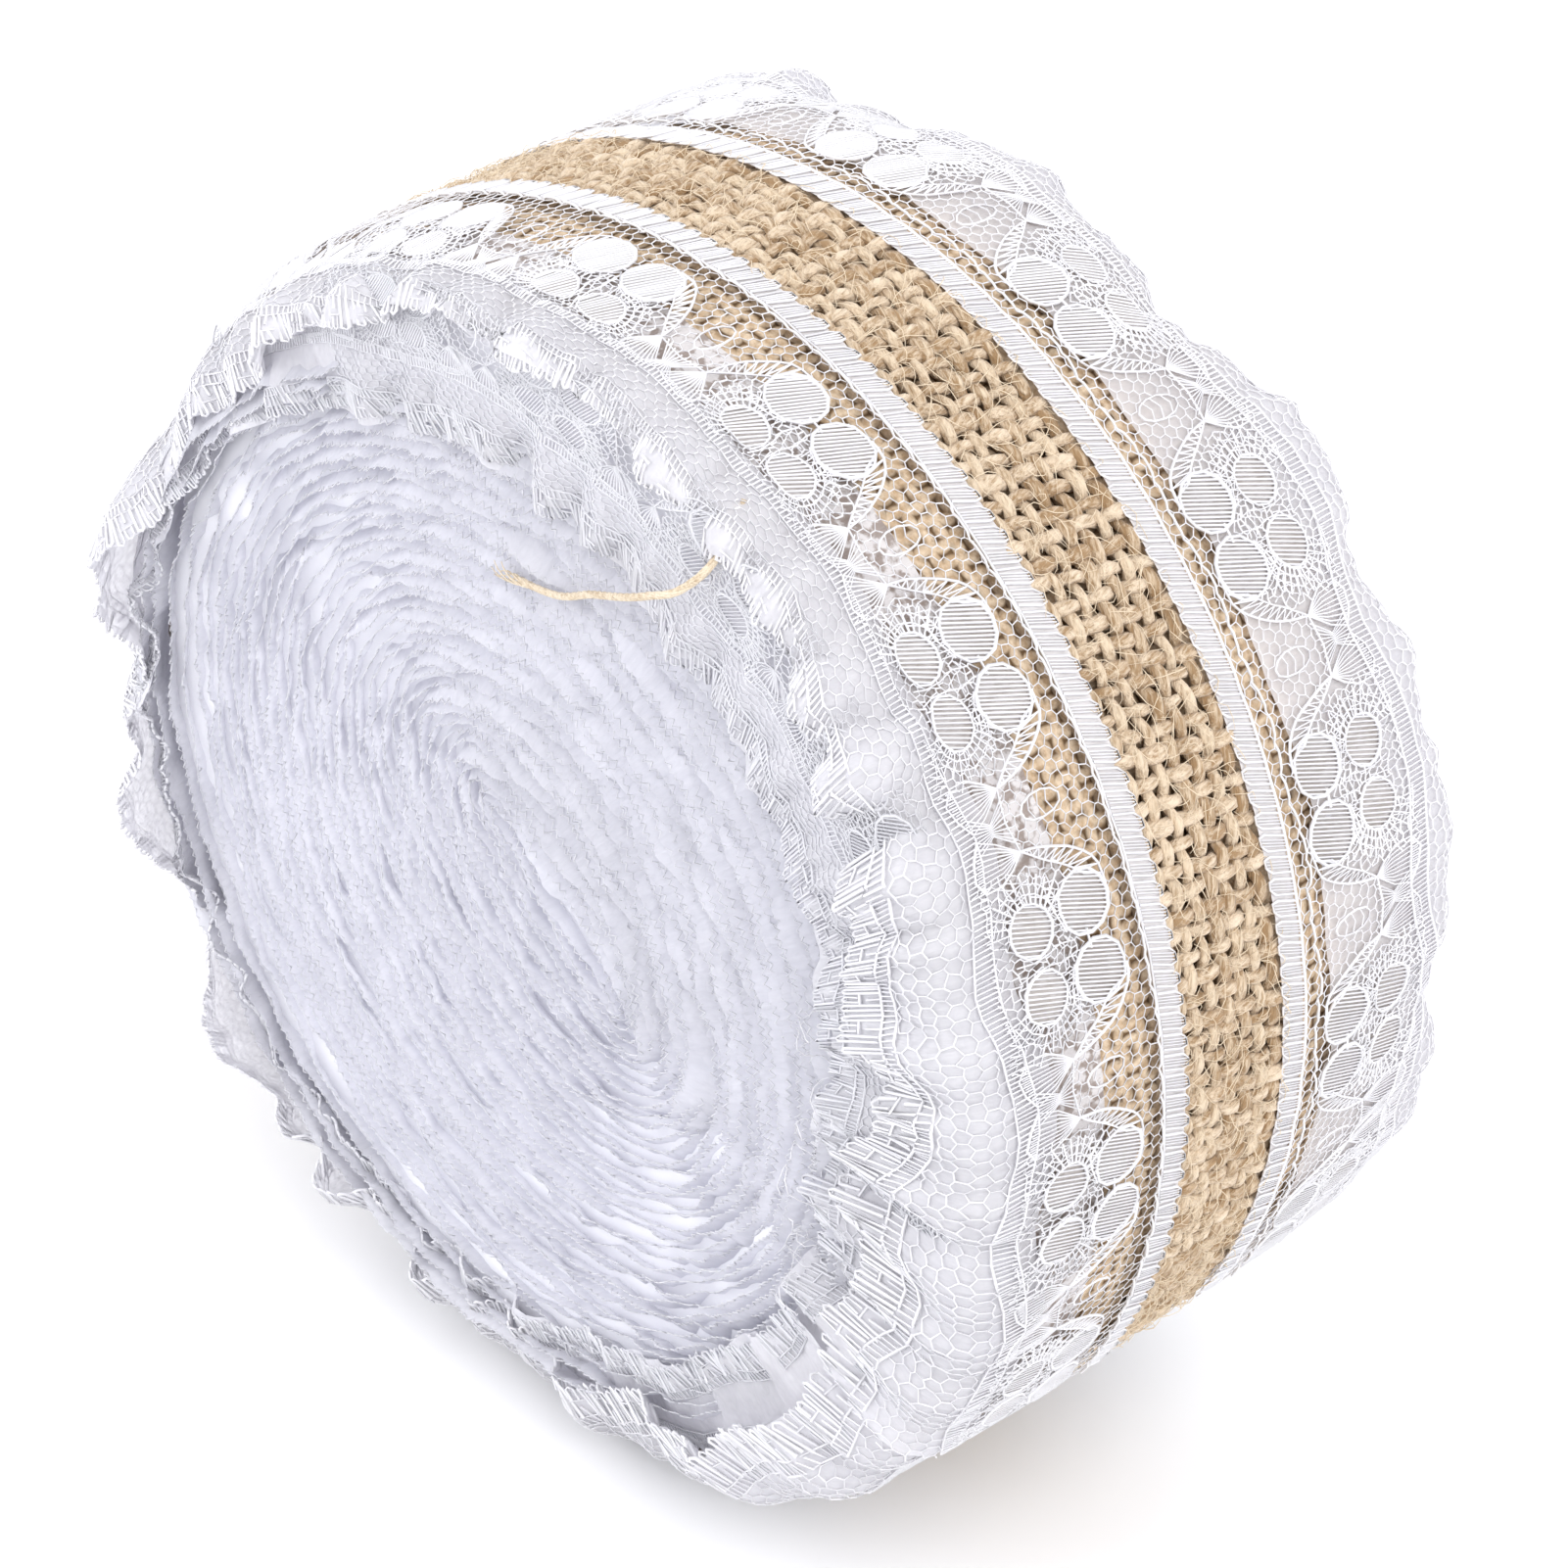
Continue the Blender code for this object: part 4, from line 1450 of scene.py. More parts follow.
NEAR_SECOND_ROWS = (
    (0.0, 26.4, 28.6, 2.0, 27.8, 46.5),
    (28.0, 26.6, 29.2, 1.4, 28.6, 46.0),
    (47.0, 26.6, 29.6, 1.2, 28.8, 45.5),
    (60.0, 25.6, 29.6, 1.2, 28.9, 44.5),
    (75.0, 24.6, 29.6, 1.2, 28.8, 42.5),
    (93.0, 24.6, 29.4, 1.2, 28.2, 39.0),
    (107.0, 24.6, 29.2, 1.4, 28.2, 41.5),
    (125.0, 24.0, 28.8, 1.8, 28.6, 43.0),
    (160.0, 23.0, 27.2, 3.6, 28.4, 45.5),
    (200.0, 23.0, 26.6, 5.2, 28.8, 48.0),
    (229.0, 23.0, 26.8, 3.8, 30.4, 49.5),
    (256.0, 23.0, 27.2, 4.0, 31.2, 49.5),
    (285.0, 23.0, 27.2, 4.0, 31.4, 49.5),
    (318.0, 23.0, 26.4, 5.4, 29.4, 49.0),
    (340.0, 24.6, 27.2, 3.6, 27.8, 46.5),
)
FAR_OUTER_ROWS = (
    (10.0, 5.7, 29.0, 1.6, 28.6, 53.0),
    (27.0, 5.7, 26.6, 2.4, 25.6, 54.0),
    (42.0, 5.7, 31.0, 0.6, 31.4, 52.0),
    (54.0, 5.7, 29.6, 0.8, 28.8, 50.0),
    (66.0, 5.7, 31.0, 0.6, 31.2, 50.0),
    (80.0, 5.7, 31.4, 0.6, 32.0, 49.0),
    (93.0, 5.7, 29.4, 0.9, 28.4, 47.0),
    (106.0, 5.7, 32.2, 0.6, 34.0, 50.0),
    (122.0, 5.7, 29.4, 0.9, 28.6, 49.0),
    (150.0, 5.7, 28.4, 2.2, 29.0, 49.0),
    (180.0, 5.7, 27.4, 3.6, 28.0, 48.0),
    (205.0, 5.7, 28.8, 2.4, 31.6, 50.0),
    (232.0, 5.7, 27.6, 2.8, 28.4, 49.0),
    (258.0, 5.7, 29.4, 1.9, 33.0, 50.0),
    (284.0, 5.7, 27.6, 2.4, 28.2, 49.0),
    (308.0, 5.7, 29.4, 1.6, 31.4, 51.0),
    (331.0, 5.7, 30.6, 0.6, 31.8, 53.0),
    (352.0, 5.7, 25.8, 2.6, 25.2, 54.0),
)
FAR_SECOND_ROWS = tuple(
    # the turn below keeps inside the outer one all the way round
    (direction, knee_reach - 4.0, knee_reach - 1.7, knee_drop + 1.4,
     min(edge_reach, knee_reach + 1.0) - 1.6, edge_radius - 4.5)
    for direction, start, knee_reach, knee_drop, edge_reach, edge_radius in FAR_OUTER_ROWS
)


@dataclass(frozen=True)
class FaceTurns:
    """The wound lace edges that fill one face: a spiral of loops from the rim to the core."""

    side: Side
    turns: float = 38.0
    outer: float = 52.0
    slit_half: float = 11.0
    slit_width: float = 0.6
    slit_centre: tuple[float, float] = (3.1, 0.5)
    slit_tilt: float = 38.0
    outer_reach: float = 28.0
    core_reach: float = 25.6
    depth: float = 6.0
    lean_to: float = 60.0
    bars: int = 3
    seed: int = 31

    def middle_line(self, turn: np.ndarray) -> tuple[np.ndarray, np.ndarray, np.ndarray]:
        """The spiral in the face's plane.

        Args:
            turn: turns wound inward from the outside.

        Returns:
            Place across, height over the axis, and direction in degrees.
        """
        share = turn / self.turns
        direction = FORM.end_direction - FULL_TURN * turn
        angle = np.radians(direction)
        tilt = math.radians(-self.slit_tilt)
        ahead = angle - (math.pi / 2.0 - tilt)
        long_way, short_way = self.slit_half * np.cos(ahead), -self.slit_width * np.sin(ahead)
        x_core = self.slit_centre[0] + long_way * math.cos(tilt) - short_way * math.sin(tilt)
        z_core = self.slit_centre[1] + long_way * math.sin(tilt) + short_way * math.cos(tilt)
        x = (1.0 - share) * self.outer * np.sin(angle) + share * x_core
        z = (1.0 - share) * self.outer * np.cos(angle) + share * z_core
        return x, z, direction

    def climb(self, direction: np.ndarray) -> np.ndarray:
        """How far the outermost turns of the face stand above the rest, in millimetres."""
        leaning = 0.5 + 0.5 * np.cos(np.radians(direction - self.lean_to))
        return 3.0 - 4.2 * eased(0.2, 0.7, leaning)

    def samples(self, step: float) -> np.ndarray:
        """Turns wound inward, spaced evenly along the spiral by a step in millimetres."""
        fine = np.arange(0.0, self.turns, 2.0 / FULL_TURN)
        x, z, _ = self.middle_line(fine)
        arc = np.concatenate([[0.0], np.cumsum(np.hypot(np.diff(x), np.diff(z)))])
        return np.interp(np.linspace(0.0, arc[-1], round(arc[-1] / step) + 1), arc, fine)

    def guide(self, name: str, step: float, across: np.ndarray, scallop: float = 0.0) -> Guide:
        """The upright band that one face's turns follow.

        Args:
            name: name of the working object.
            step: millimetres between its rows.
            across: places across it, counted up from the tips, in millimetres.
            scallop: how far the tips rise and fall with the border's blocks.

        Returns:
            The guide.
        """
        turn = self.samples(step)
        x, z, direction = self.middle_line(turn)
        way = np.stack([np.gradient(x), np.gradient(z)], axis=1)
        way /= np.linalg.norm(way, axis=1)[:, None]
        arc = np.concatenate([[0.0], np.cumsum(np.hypot(np.diff(x), np.diff(z)))])
        out = np.stack([-way[:, 1], way[:, 0]], axis=1)
        radial = np.stack([np.sin(np.radians(direction)), np.cos(np.radians(direction))], axis=1)
        out *= np.sign((out * radial).sum(axis=1, keepdims=True))
        share = turn / self.turns
        number = np.floor(turn).astype(int)
        own = np.random.default_rng(self.seed).normal(0.0, 1.0, number.max() + 2)
        drift = own[number] * (1.0 - turn % 1.0) + own[number + 1] * (turn % 1.0)
        leaning = 0.5 + 0.5 * np.cos(np.radians(direction - self.lean_to))
        tip = self.outer_reach + (self.core_reach - self.outer_reach) * share
        tip = tip + (1.0 - eased(0.0, 0.14, share)) * self.climb(direction)
        tip = tip + (0.18 + 0.16 * leaning) * Ripple(self.seed + 2, (9.0, 40.0)).at(arc)
        tip = tip + (0.14 + 0.26 * leaning) * drift
        tip = tip + 0.09 * Ripple(self.seed + 6, (2.0, 5.0)).at(arc)
        tip = tip + scallop * np.abs(np.sin(np.pi * arc / PATTERN.block))
        sideways = 0.15 * Ripple(self.seed + 3, (4.0, 16.0)).at(arc)
        lean = np.radians(20.0 + 32.0 * leaning + 9.0 * Ripple(self.seed + 4, (12.0, 50.0)).at(arc))
        down = -across[None, :]
        bend = 0.10 * Ripple(self.seed + 5, (3.0, 8.0), 0.8).at(arc[:, None], across[None, :])
        away = sideways[:, None] + np.sin(lean)[:, None] * down + bend
        reach = tip[:, None] - np.cos(lean)[:, None] * down
        px = x[:, None] + out[:, 0, None] * away
        pz = z[:, None] + out[:, 1, None] * away
        sign = self.side.value
        points = np.stack([px, reach * sign, pz + FORM.centre_height], axis=-1) * MM
        lean = lean[:, None, None]
        outward = np.stack([out[:, 0], np.zeros(len(out)), out[:, 1]], axis=1)[:, None, :]
        outward = outward * np.cos(lean) + np.array([0.0, sign, 0.0]) * np.sin(lean)
        return Guide(name, points, across, arc, np.broadcast_to(outward, points.shape))

    def tips(self) -> FlatWork:
        """The border's tips as the face shows them, over one block."""
        work = FlatWork()
        steps = 2 * self.bars
        x = np.linspace(-0.5, 0.5, steps + 1) * PATTERN.block
        y = np.where(np.arange(steps + 1) % 2 == 0, -0.46, 0.05)
        work.thread(points_of(x, y), 0.15)
        return work

    def sheet(self, name: str, step: float) -> bpy.types.Object:
        """The wound lace below the tips, as one long band of close cloth."""
        across = np.array([-self.depth, -3.2, -1.4, -0.15])
        # the band's finish is the lace white painted darker and bluer: painted shade
        return self.guide(name, step, across, 0.18).keep(SHADED_WOUND_GROUND, self.depth)


@dataclass
class LaceEdging:
    """One lace edging: its outer turn, the turn under it and the turns of the face."""

    side: Side
    node: str
    outer: LaceLay
    second: LaceLay
    face: FaceTurns
    pattern: LacePattern
    ground_from: tuple[float, float] = (15.0, 1.8)
    underlay: tuple[float, float] | None = (9.0, 18.5)
    stitch_line: tuple[float, float] = (3.4, 0.06)
    open_second: tuple[float, float] = (-20.0, 100.0)
    strays_at: float = 92.0
    pieces: list = field(default_factory=list)

    def name(self, part: str) -> str:
        """The full name of one of this edging's pieces."""
        return f"lace_{self.side.name.lower()}_{part}"

    def add(self, piece: bpy.types.Object) -> None:
        """Keep a finished piece of this edging."""
        self.pieces.append(finish_piece(piece, self.node))

    def wrap(self, part: str, work: FlatWork, guide: Guide, repeats: int, finish: Finish,
             repeat: float = PATTERN.repeat, **settings: float) -> None:
        """Lay repeats of some flat work on a guide as one piece.

        Args:
            part: last part of the piece's name.
            work: one repeat of the work.
            guide: surface that it is laid on.
            repeats: how many times it is laid.
            finish: the threads' finish.
            repeat: length of one repeat in millimetres.
            settings: the wrapping's other settings.
        """
        self.add(Wrapping(self.name(part), work, guide, repeats, repeat, finish, **settings).lay())

    def start_offset(self) -> float:
        """Where the first repeat's middle lies from the outermost turn's start."""
        degrees = (MOTIF_DIRECTION - FORM.first_direction) % (FULL_TURN / LACE_REPEATS)
        return lace_length(degrees) - PATTERN.repeat

    def build_outer(self) -> None:
        """Lay the whole pattern once round the roll, up to the cut end."""
        guide = self.outer.guide("guide", FORM.first_direction, FORM.end_direction)
        self.wrap("outer_turn", self.pattern.whole(), guide, LACE_REPEATS + 2, LACE,
                  start=self.start_offset(), lift=0.1, wander=0.16, wander_size=3.5)
        guide.drop()
        # the ladder's backing band is grey: painted shade seen through the slits between the rungs
        lay = replace(self.outer, ground_finish=LADDER_SHADE_GROUND)
        self.add(lay.band(self.name("ladder_backing"), 0.4, 2.95, 0.07))
        self.add(self.outer.petal_grounds(self.name("petal_grounds")))
        # the underlay is the lace below the motif, painted grey with dark holes: painted shade
        if self.underlay is not None:
            lay = replace(self.outer, ground_finish=DEEP_SHADE_GROUND)
            self.add(lay.band(self.name("underlay"), *self.underlay, 1.1))
        end = FORM.end_direction - CUT_MARGIN
        self.add(self.outer.ground(self.name("outer_ground"), end, *self.ground_from))

    def build_second(self) -> None:
        """Lay the turn below, with nets over its open stretch only, and the stray threads."""
        first = FORM.first_direction
        guide = self.second.guide("guide", first, FORM.end_direction, 0.75, 40)
        offset = self.start_offset() + 7.0
        before, after = (
            math.ceil((lace_length(way - first) - offset) / PATTERN.repeat)
            for way in self.open_second
        )
        for part, work, low, high in (
            ("second_turn", self.pattern.outer_part(), 0, before),
            ("second_turn_open", self.pattern.without_ladder(), before, after),
            ("second_turn_end", self.pattern.outer_part(), after, LACE_REPEATS + 2),
        ):
            if high > low:
                self.wrap(part, work, guide, high - low, SHADED_WOUND_LACE,
                          start=offset + low * PATTERN.repeat, wander=0.25)
        self.wrap("stray_threads", self.pattern.stray_threads(), guide, 1, LACE,
                  start=lace_length(self.strays_at - first), wander=0.3, wander_size=3.0)
        guide.drop()
        end = FORM.end_direction + 14.0
        self.add(self.second.ground(self.name("second_ground"), end, 13.5, 3.5))

    def build_stitching(self) -> None:
        """The sewing thread that runs along the ladder, pulled in at every stitch."""
        guide = self.outer.guide("guide", FORM.first_direction, FORM.end_direction)
        middle, sway = self.stitch_line
        work = FlatWork()
        x = np.linspace(-PATTERN.half, PATTERN.half, 4 * PATTERN.blocks + 1)
        y = middle + sway * np.sin(4.0 * np.pi * x / PATTERN.repeat)
        pulled = np.arange(len(x)) % 4 == 0
        work.thread(points_of(x, y, np.where(pulled, -0.16, 0.16)), 0.25)
        self.wrap("stitching", work, guide, LACE_REPEATS + 2, SEWING_THREAD,
                  start=self.start_offset(), lift=0.15, wander=0.25, wander_size=6.0, sides=5)
        guide.drop()

    def build_face(self) -> None:
        """Lay the loops of the face, and the close web that they grow out of."""
        guide = self.face.guide("guide", 1.6, np.array([-1.6, -0.4, 0.7]), 0.18)
        blocks = int(guide.length / PATTERN.block)
        self.wrap("face_tips", self.face.tips(), guide, blocks, SHADED_WOUND_LACE, PATTERN.block,
                  start=PATTERN.block, wander=0.34, wander_size=1.9)
        guide.drop()
        self.add(self.face.sheet(self.name("face_turns"), 1.0))

    def build_packing(self) -> None:
        """The mass of lace turns below those that show, closed at the face's middle."""
        direction = np.linspace(0.0, FULL_TURN, 120, endpoint=False)
        table = round_the_roll(self.outer.rows, direction)
        knee_reach, knee_drop = table[:, 1], table[:, 2]
        face_reach, core_reach = self.face.outer_reach - 1.9, self.face.core_reach - 1.9
        climb = self.face.climb(direction)
        beside_rim = face_reach + 0.7 * climb
        beside_rim = np.where(climb > 0.0, beside_rim, np.minimum(knee_reach - 2.4, beside_rim))
        rings = [
            FORM.place(direction, radius, reach * self.side.value, 1.2)
            for radius, reach in (
                (FORM.radius - 4.6 - knee_drop * 0.4, 22.8),
                (FORM.radius - 4.8 - knee_drop * 0.8, np.minimum(knee_reach - 3.6, 25.5)),
                (FORM.radius - 8.0 - knee_drop, knee_reach - 2.6),
                (50.0, beside_rim),
                (47.0, face_reach + 0.3 * climb),
                (43.0, face_reach),
                (30.0, face_reach - 0.7),
                (16.0, core_reach + 0.6),
                (6.0, core_reach),
            )
        ]
        ends = [FORM.place(0.0, 0.0, reach * self.side.value) for reach in (22.8, core_reach)]
        points, faces = closed_rings(rings, ends, self.side is Side.FAR)
        # the packing's finish is a greyed bluish white: painted shade
        self.add(made_of(make_mesh(self.name("packing"), points, faces), SHADED_LACE_MASS))

    def build(self) -> None:
        """Build every piece of this edging."""
        self.build_outer()
        self.build_stitching()
        self.build_second()
        self.build_face()
        self.build_packing()


# --------------------------------------------------------------------------- hessian


@dataclass
class HessianRibbon:
    """The wound hessian: its bare strip in woven yarns and its body under the lace."""

    wefts: int = 192
    warp_pitch: float = 1.85
    warps: int = 7
    tile_wefts: int = 16
    weft_width: float = 1.42
    warp_width: float = 1.30
    swing: float = 0.60
    flatness: float = 0.74
    half_width: float = 6.6
    skew: float = 0.16
    fibres: int = 210

    @property
    def girth(self) -> float:
        """Length of the outer turn."""
        return 2.0 * math.pi * (FORM.radius - FORM.pitch / 2.0)

    @property
    def weft_pitch(self) -> float:
        """Distance between wefts along the ribbon."""
        return self.girth / self.wefts

    @property
    def tile(self) -> float:
        """Length of one stretch of wefts."""
        return self.tile_wefts * self.weft_pitch

    def guide(self) -> Guide:
        """The rim's surface for the yarns, slightly below the frame's rim."""
        direction = np.linspace(FORM.first_direction, FORM.end_direction, 721)
        across = np.linspace(-9.0, 9.0, 7)
        arc = direction[:, None] * math.pi / 180.0 * STRIP_RADIUS
        uneven = Ripple(5, (12.0, 60.0)).at(arc, across[None, :])
        radius = FORM.rim(direction)[:, None] - 0.80 + 0.12 * uneven
        points = FORM.place(direction[:, None], radius, across[None, :], 1.7)
        outward = FORM.place(direction[:, None], radius + 1.0, across[None, :], -1.0)
        outward = outward - FORM.place(direction[:, None], radius, across[None, :], -2.0)
        along = (direction - direction[0]) / FULL_TURN * self.girth
        return Guide("guide", points, across, along, outward)

    def swelling(self, along: np.ndarray, waves: int, rng: np.random.Generator) -> np.ndarray:
        """How a yarn's thickness changes along a stretch, as shares of its own width."""
        phase = rng.uniform(0.0, 2.0 * math.pi, 2)
        turn = 2.0 * math.pi * along / self.tile
        fine = 0.06 * np.sin((2 * waves + 1) * turn + phase[1])
        return 1.0 + 0.09 * np.sin(waves * turn + phase[0]) + fine

    def warps_tile(self) -> FlatWork:
        """The warps over one stretch of wefts, each a little past its end."""
        work, rng = FlatWork(), np.random.default_rng(17)
        x = np.arange(4 * self.tile_wefts + 2) * self.weft_pitch / 4.0
        for warp in range(self.warps):
            y = (warp - (self.warps - 1) / 2.0) * self.warp_pitch + rng.normal(0.0, 0.07)
            crossed = (x - self.skew * y) / self.weft_pitch
            z = self.swing * np.cos(np.pi * (crossed - 0.5 + warp))
            sway = 0.13 * np.sin(2.0 * np.pi * x / (4.0 * self.weft_pitch) + warp * 1.7)
            work.thread(points_of(x, y + sway, z),
                        self.warp_width * rng.uniform(0.86, 1.10) * self.swelling(x, 3, rng))
        return work

    def wefts_tile(self) -> FlatWork:
        """One stretch of wefts, each with its own slant and thickness."""
        work, rng = FlatWork(), np.random.default_rng(29)
        y = np.arange(-self.half_width, self.half_width + 0.01, self.warp_pitch / 4.0)
        at = y / self.warp_pitch + (self.warps - 1) / 2.0
        for weft in range(self.tile_wefts):
            z = -self.swing * np.cos(np.pi * (at + weft))
            bow = rng.normal(0.0, 0.22) * y / self.half_width + rng.normal(0.0, 0.13)
            x = (weft + 0.5) * self.weft_pitch + bow + 0.10 * np.sin(y * 0.9 + weft * 2.0)
            work.thread(points_of(x + self.skew * y, y, z),
                        self.weft_width * rng.uniform(0.72, 1.14) * self.swelling(y, 5, rng))
        return work

    def fibres_tile(self) -> FlatWork:
        """Loose fibres over one stretch of the strip."""
        work, rng = FlatWork(), np.random.default_rng(43)
        for _ in range(self.fibres):
            x, y = rng.uniform(0.0, self.tile), rng.uniform(-6.2, 6.2)
            heading = rng.choice((0.0, math.pi / 2.0)) + rng.normal(0.0, 0.55)
            bend = rng.normal(0.0, 0.45)
            length, rise = rng.uniform(1.4, 4.6), rng.uniform(0.0, 0.75)
            line = [(x, y, 0.55)]
            for step in range(4):
                x += math.cos(heading) * length / 4.0
                y = min(6.6, max(-6.6, y + math.sin(heading) * length / 4.0))
                heading += bend
                line.append((x, y, 0.80 + rise * math.sin((step + 1) * 0.8)))
            work.thread(line, [0.06, 0.085, 0.085, 0.07, 0.03])
        return work

    def build_strip(self) -> list[bpy.types.Object]:
        """Weave the strip round the roll, and raise its loose fibres."""
        guide = self.guide()
        pieces = []
        for name, work, finish, wander, sides, flatness in (
            ("hessian_warps", self.warps_tile(), HESSIAN_WARP, 0.30, 6, self.flatness),
            ("hessian_wefts", self.wefts_tile(), HESSIAN_WEFT, 0.30, 6, self.flatness),
            ("hessian_fibres", self.fibres_tile(), HESSIAN_FIBRE, 0.5, 3, 1.0),
        ):
            laid = Wrapping(name, work, guide, self.wefts // self.tile_wefts, self.tile, finish,
                            wander=wander, wander_size=2.6, sides=sides, flatness=flatness,
                            merge=0.01).lay()
            pieces.append(finish_piece(laid, "hessian_roll"))
        guide.drop()
        return pieces

    def build_body(self) -> bpy.types.Object:
        """The closed body of wound hessian, mapped in yarn counts for its drawn weave."""
        sections = 240
        direction = np.linspace(FORM.first_direction, FORM.end_direction, sections, endpoint=False)
        rim = FORM.rim(direction)
        half = FORM.hessian_width / 2.0
        under = [(half, 5.2), (half - 0.3, 4.6), (19.0, 2.9), (15.0, 1.6), (11.0, 1.05),
                 (6.6, 0.95), (5.9, 2.0)]
        profile = [(-y, drop) for y, drop in under] + under[::-1]
        rings = [FORM.place(direction, rim - drop, y, 1.3) for y, drop in profile]
        ends = [FORM.place(0.0, 0.0, -half), FORM.place(0.0, 0.0, half)]
        points, faces = closed_rings(rings, ends, True)
        values = []
        for face in faces:
            closing = any(number % sections == sections - 1 for number in face)
            for number in face:
                ring, index = divmod(number, sections)
                if ring == len(profile):
                    values.extend((0.0, -40.0 if index == 0 else 40.0))
                    continue
                turned = sections if closing and index == 0 else index
                values.extend((turned / sections * self.wefts, profile[ring][0] / self.warp_pitch))
        mesh = make_mesh("hessian_wound_body", points, faces)
        chart_faces(mesh, values)
        return finish_piece(made_of(mesh, HESSIAN_UNDER), "hessian_roll")

    def build(self) -> None:
        """Build every piece of the hessian."""
        warps, wefts, fibres = self.build_strip()
        self.build_body()


# --------------------------------------------------------------------------- loose yarn


@dataclass
class LooseYarn:
    """The yarn that has come out of the hessian and lies over the near face."""

    diameter: float = 0.85
    plies: int = 6
    twist_length: float = 7.0
    frayed_from: float = 0.86
    route: tuple = (
        # direction, radius, reach
        (26.5, 62.2, 25.0),
        (28.8, 59.2, 29.0),
        (28.6, 56.0, 31.4),
        (26.6, 53.0, 32.0),
        (24.0, 49.6, 31.6),
        (18.5, 44.0, 29.9),
        (11.5, 38.8, 28.6),
        (358.5, 36.0, 27.8),
    )

    def path(self, count: int) -> np.ndarray:
        """Points of the yarn's middle line in metres."""
        rows = np.array(self.route)
        return smooth_line(list(FORM.place(rows[:, 0], rows[:, 1], -rows[:, 2])), count)

    def build(self) -> bpy.types.Object:
        """Twist the plies along the route, and let them part at the free end."""
        count, sides = 80, 5
        middle = self.path(count)
        way = np.gradient(middle, axis=0)
        way /= np.linalg.norm(way, axis=1, keepdims=True)
        up = np.cross(way, np.array([0.0, 1.0, 0.3]))
        up /= np.linalg.norm(up, axis=1, keepdims=True)
        aside = np.cross(way, up)
        share = np.linspace(0.0, 1.0, count)
        length = float(np.linalg.norm(np.diff(middle, axis=0), axis=1).sum())
        parting = eased(self.frayed_from, 1.0, share)
        points, faces, shades = [], [], []
        for ply in range(self.plies):
            turn = 2.0 * math.pi * (ply / self.plies + share * length / MM / self.twist_length)
            offset = self.diameter * MM * (0.25 + (0.25 + 0.16 * ply) * parting)
            turned = np.cos(turn)[:, None] * up + 0.6 * np.sin(turn)[:, None] * aside
            centre = middle + offset[:, None] * turned
            radius = self.diameter * MM * 0.21 * (1.0 - 0.72 * parting)
            radius = radius * np.minimum(1.0, 0.7 + 4.0 * share)
            start = len(points)
            for index in range(count):
                for corner in range(sides):
                    angle = 2.0 * math.pi * corner / sides
                    way = math.cos(angle) * up[index] + math.sin(angle) * aside[index]
                    points.append(centre[index] + radius[index] * way)
                    shades.append(0.3 + 0.12 * ply)
            for index in range(count - 1):
                for corner in range(sides):
                    after = (corner + 1) % sides
                    a, b = start + index * sides, start + (index + 1) * sides
                    faces.append([a + corner, a + after, b + after, b + corner])
            faces.append([start + corner for corner in range(sides)][::-1])
            faces.append([start + (count - 1) * sides + corner for corner in range(sides)])
        mesh = make_mesh("loose_yarn", points, faces)
        mark_points(mesh, SHADE, shades)
        piece = finish_piece(made_of(mesh, LOOSE_YARN), "yarn_end")
        line = self.path(40)
        return piece


# --------------------------------------------------------------------------- studio


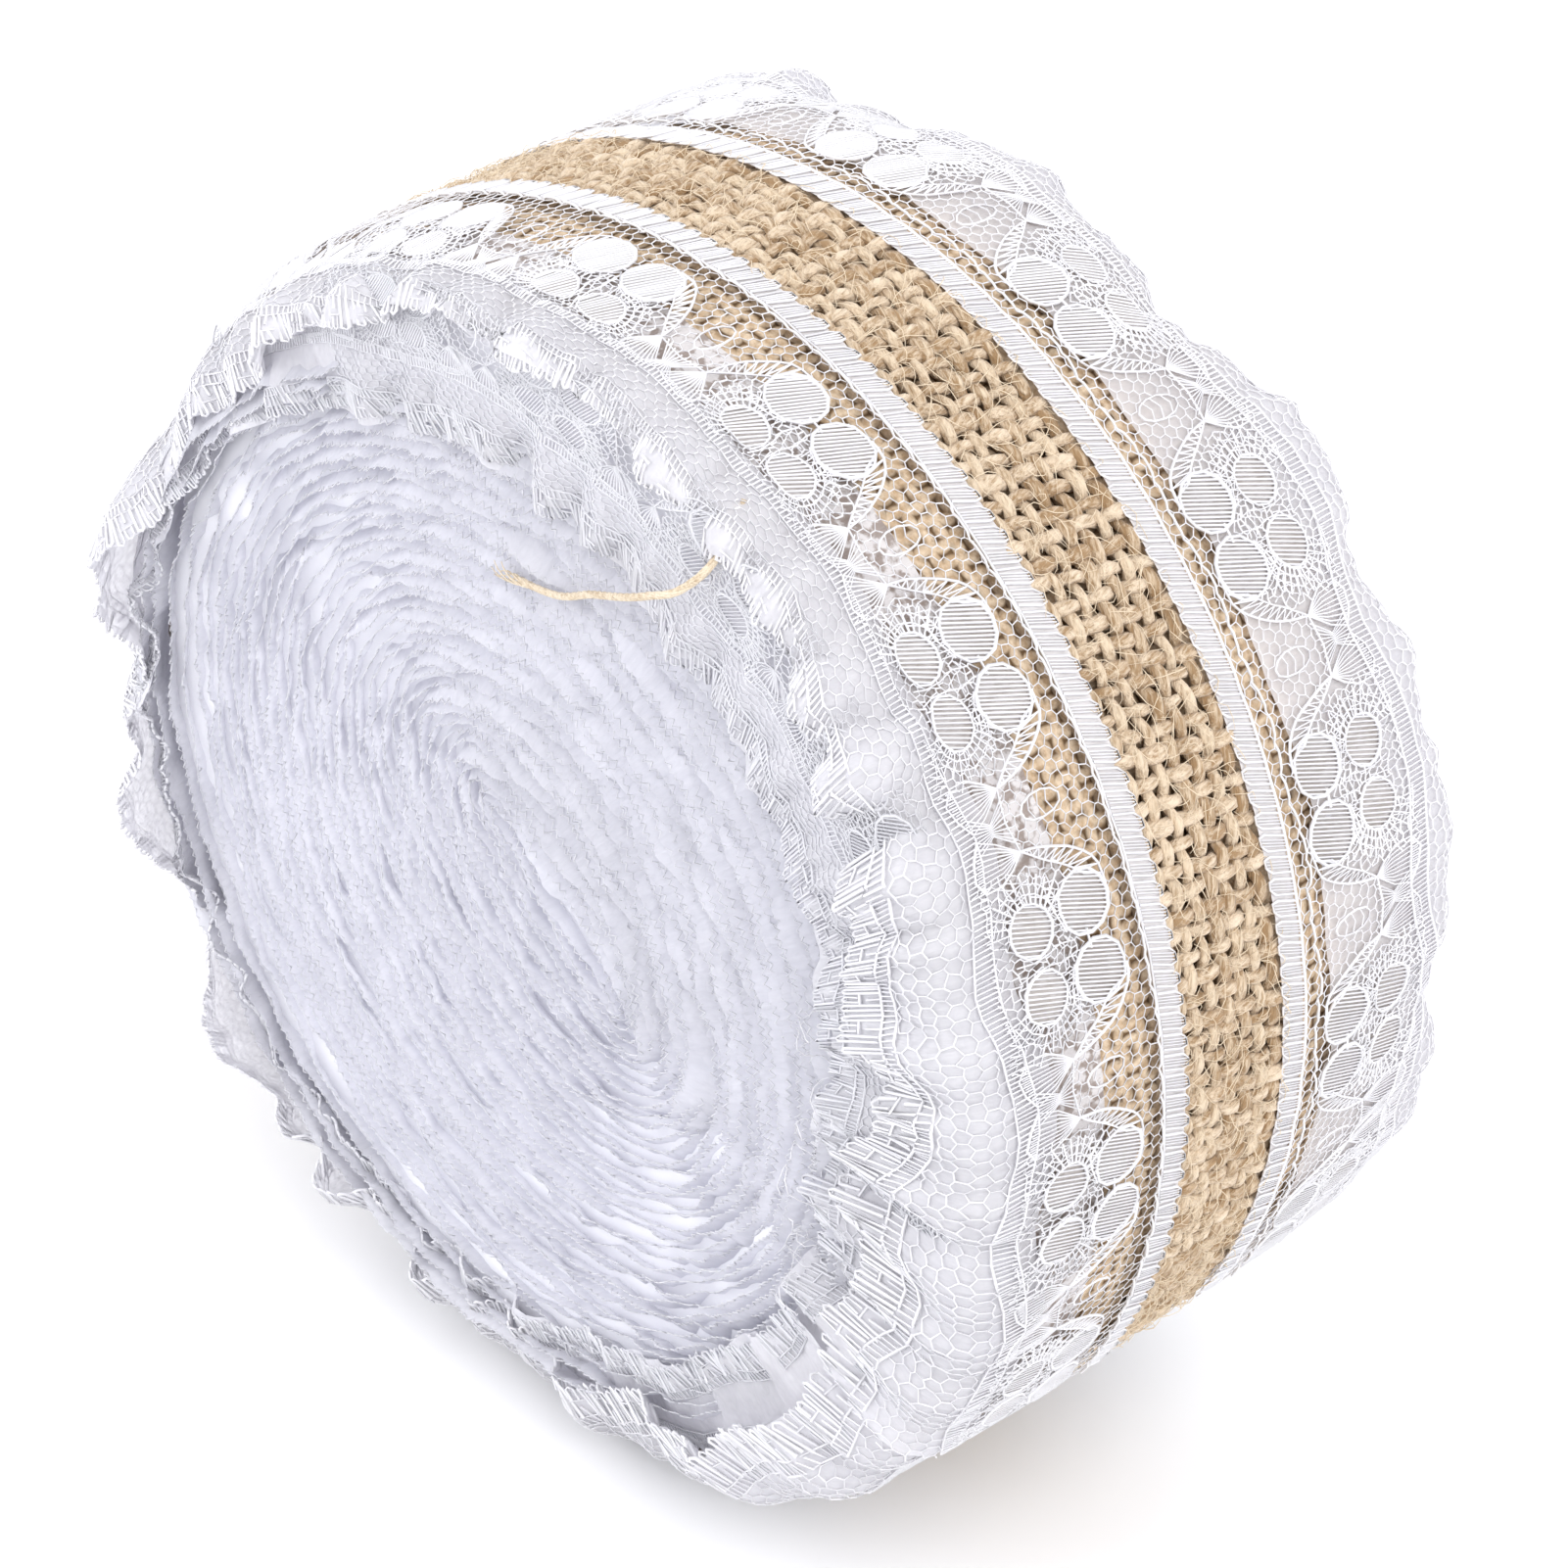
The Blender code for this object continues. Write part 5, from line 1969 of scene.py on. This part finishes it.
@dataclass(frozen=True)
class Studio:
    """Pale floor, soft light and the camera."""

    turn: float = 47.6
    height: float = 35.9
    distance: float = 504.0
    lens: float = 124.1
    aside: float = 0.0272

    def camera(self) -> None:
        """Place the camera, looking at the roll's middle."""
        data = bpy.data.cameras.new("camera")
        data.sensor_width = 36.0
        data.lens = self.lens
        data.shift_x = self.aside
        data.clip_start, data.clip_end = 0.01, 20.0
        turn, height = math.radians(self.turn), math.radians(self.height)
        level = math.cos(height)
        back = Vector((math.sin(turn) * level, -math.cos(turn) * level, math.sin(height)))
        place = Vector((0.0, 0.0, FORM_CENTRE)) + back * self.distance * MM
        bpy.context.scene.camera = self.facing("camera", data, place, -back)

    def facing(self, name: str, data: bpy.types.ID, place: Vector, way: Vector) -> bpy.types.Object:
        """Put a camera or a light in the scene, looking one way."""
        made = add_object(name, data)
        made.location = place
        made.rotation_mode = "QUATERNION"
        made.rotation_quaternion = way.to_track_quat("-Z", "Y")
        return made

    def floor(self) -> None:
        """Lay a plain pale floor."""
        size = 6.0
        corners = [(-size, -size, 0.0), (size, -size, 0.0), (size, size, 0.0), (-size, size, 0.0)]
        finish = Finish("floor_white", (0.94, 0.94, 0.945), (0.9, 0.9, 0.9), 0.9)
        made_of(make_mesh("floor", corners, [[0, 1, 2, 3]]), finish)

    def lamp(self, name: str, place: tuple, size: float, power: float, colour: tuple) -> None:
        """Add a soft square light that faces the roll."""
        data = bpy.data.lights.new(name, "AREA")
        data.size, data.energy, data.color = size, power, colour
        place = Vector(place)
        self.facing(name, data, place, Vector((0.0, 0.0, FORM_CENTRE)) - place)

    def build(self) -> None:
        """Make the whole studio."""
        self.camera()
        self.floor()
        self.lamp("key", (0.75, -0.15, 0.85), 0.8, 4.7, (1.0, 0.99, 0.97))
        self.lamp("fill", (-0.75, -0.85, 0.50), 1.0, 5.8, (0.96, 0.97, 1.0))
        world = bpy.data.worlds.new("studio")
        world.use_nodes = True
        background = world.node_tree.nodes["Background"]
        background.inputs["Color"].default_value = (0.97, 0.975, 1.0, 1.0)
        background.inputs["Strength"].default_value = 1.20
        bpy.context.scene.world = world
        bpy.context.scene.view_settings.view_transform = "Standard"


def main() -> None:
    """Build the roll in order and report each piece."""
    logging.basicConfig(level=logging.INFO, format="%(message)s")
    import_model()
    FORM.check()
    Studio().build()
    LooseYarn().build()
    HessianRibbon().build()
    near = LaceEdging(
        Side.NEAR, "lace_near",
        LaceLay(Side.NEAR, NEAR_OUTER_ROWS),
        LaceLay(Side.NEAR, NEAR_SECOND_ROWS, first=4.0, even_to=4.0, sunk=0.9, ruffle=0.7, seed=23),
        FaceTurns(Side.NEAR),
        PATTERN,
    )
    near.build()
    far = LaceEdging(
        Side.FAR, "lace_far",
        LaceLay(Side.FAR, FAR_OUTER_ROWS, seed=41),
        LaceLay(Side.FAR, FAR_SECOND_ROWS, first=4.0, even_to=4.0, sunk=0.9, ruffle=0.5, seed=43),
        FaceTurns(Side.FAR, bars=2, seed=57),
        replace(PATTERN, slant=-PATTERN.slant, border_slant=-PATTERN.border_slant),
        ground_from=(6.4, 0.8),
        underlay=None,
        stitch_line=(4.6, 0.3),
        open_second=(0.0, 0.0),
    )
    far.build()


if __name__ == "__main__":
    main()
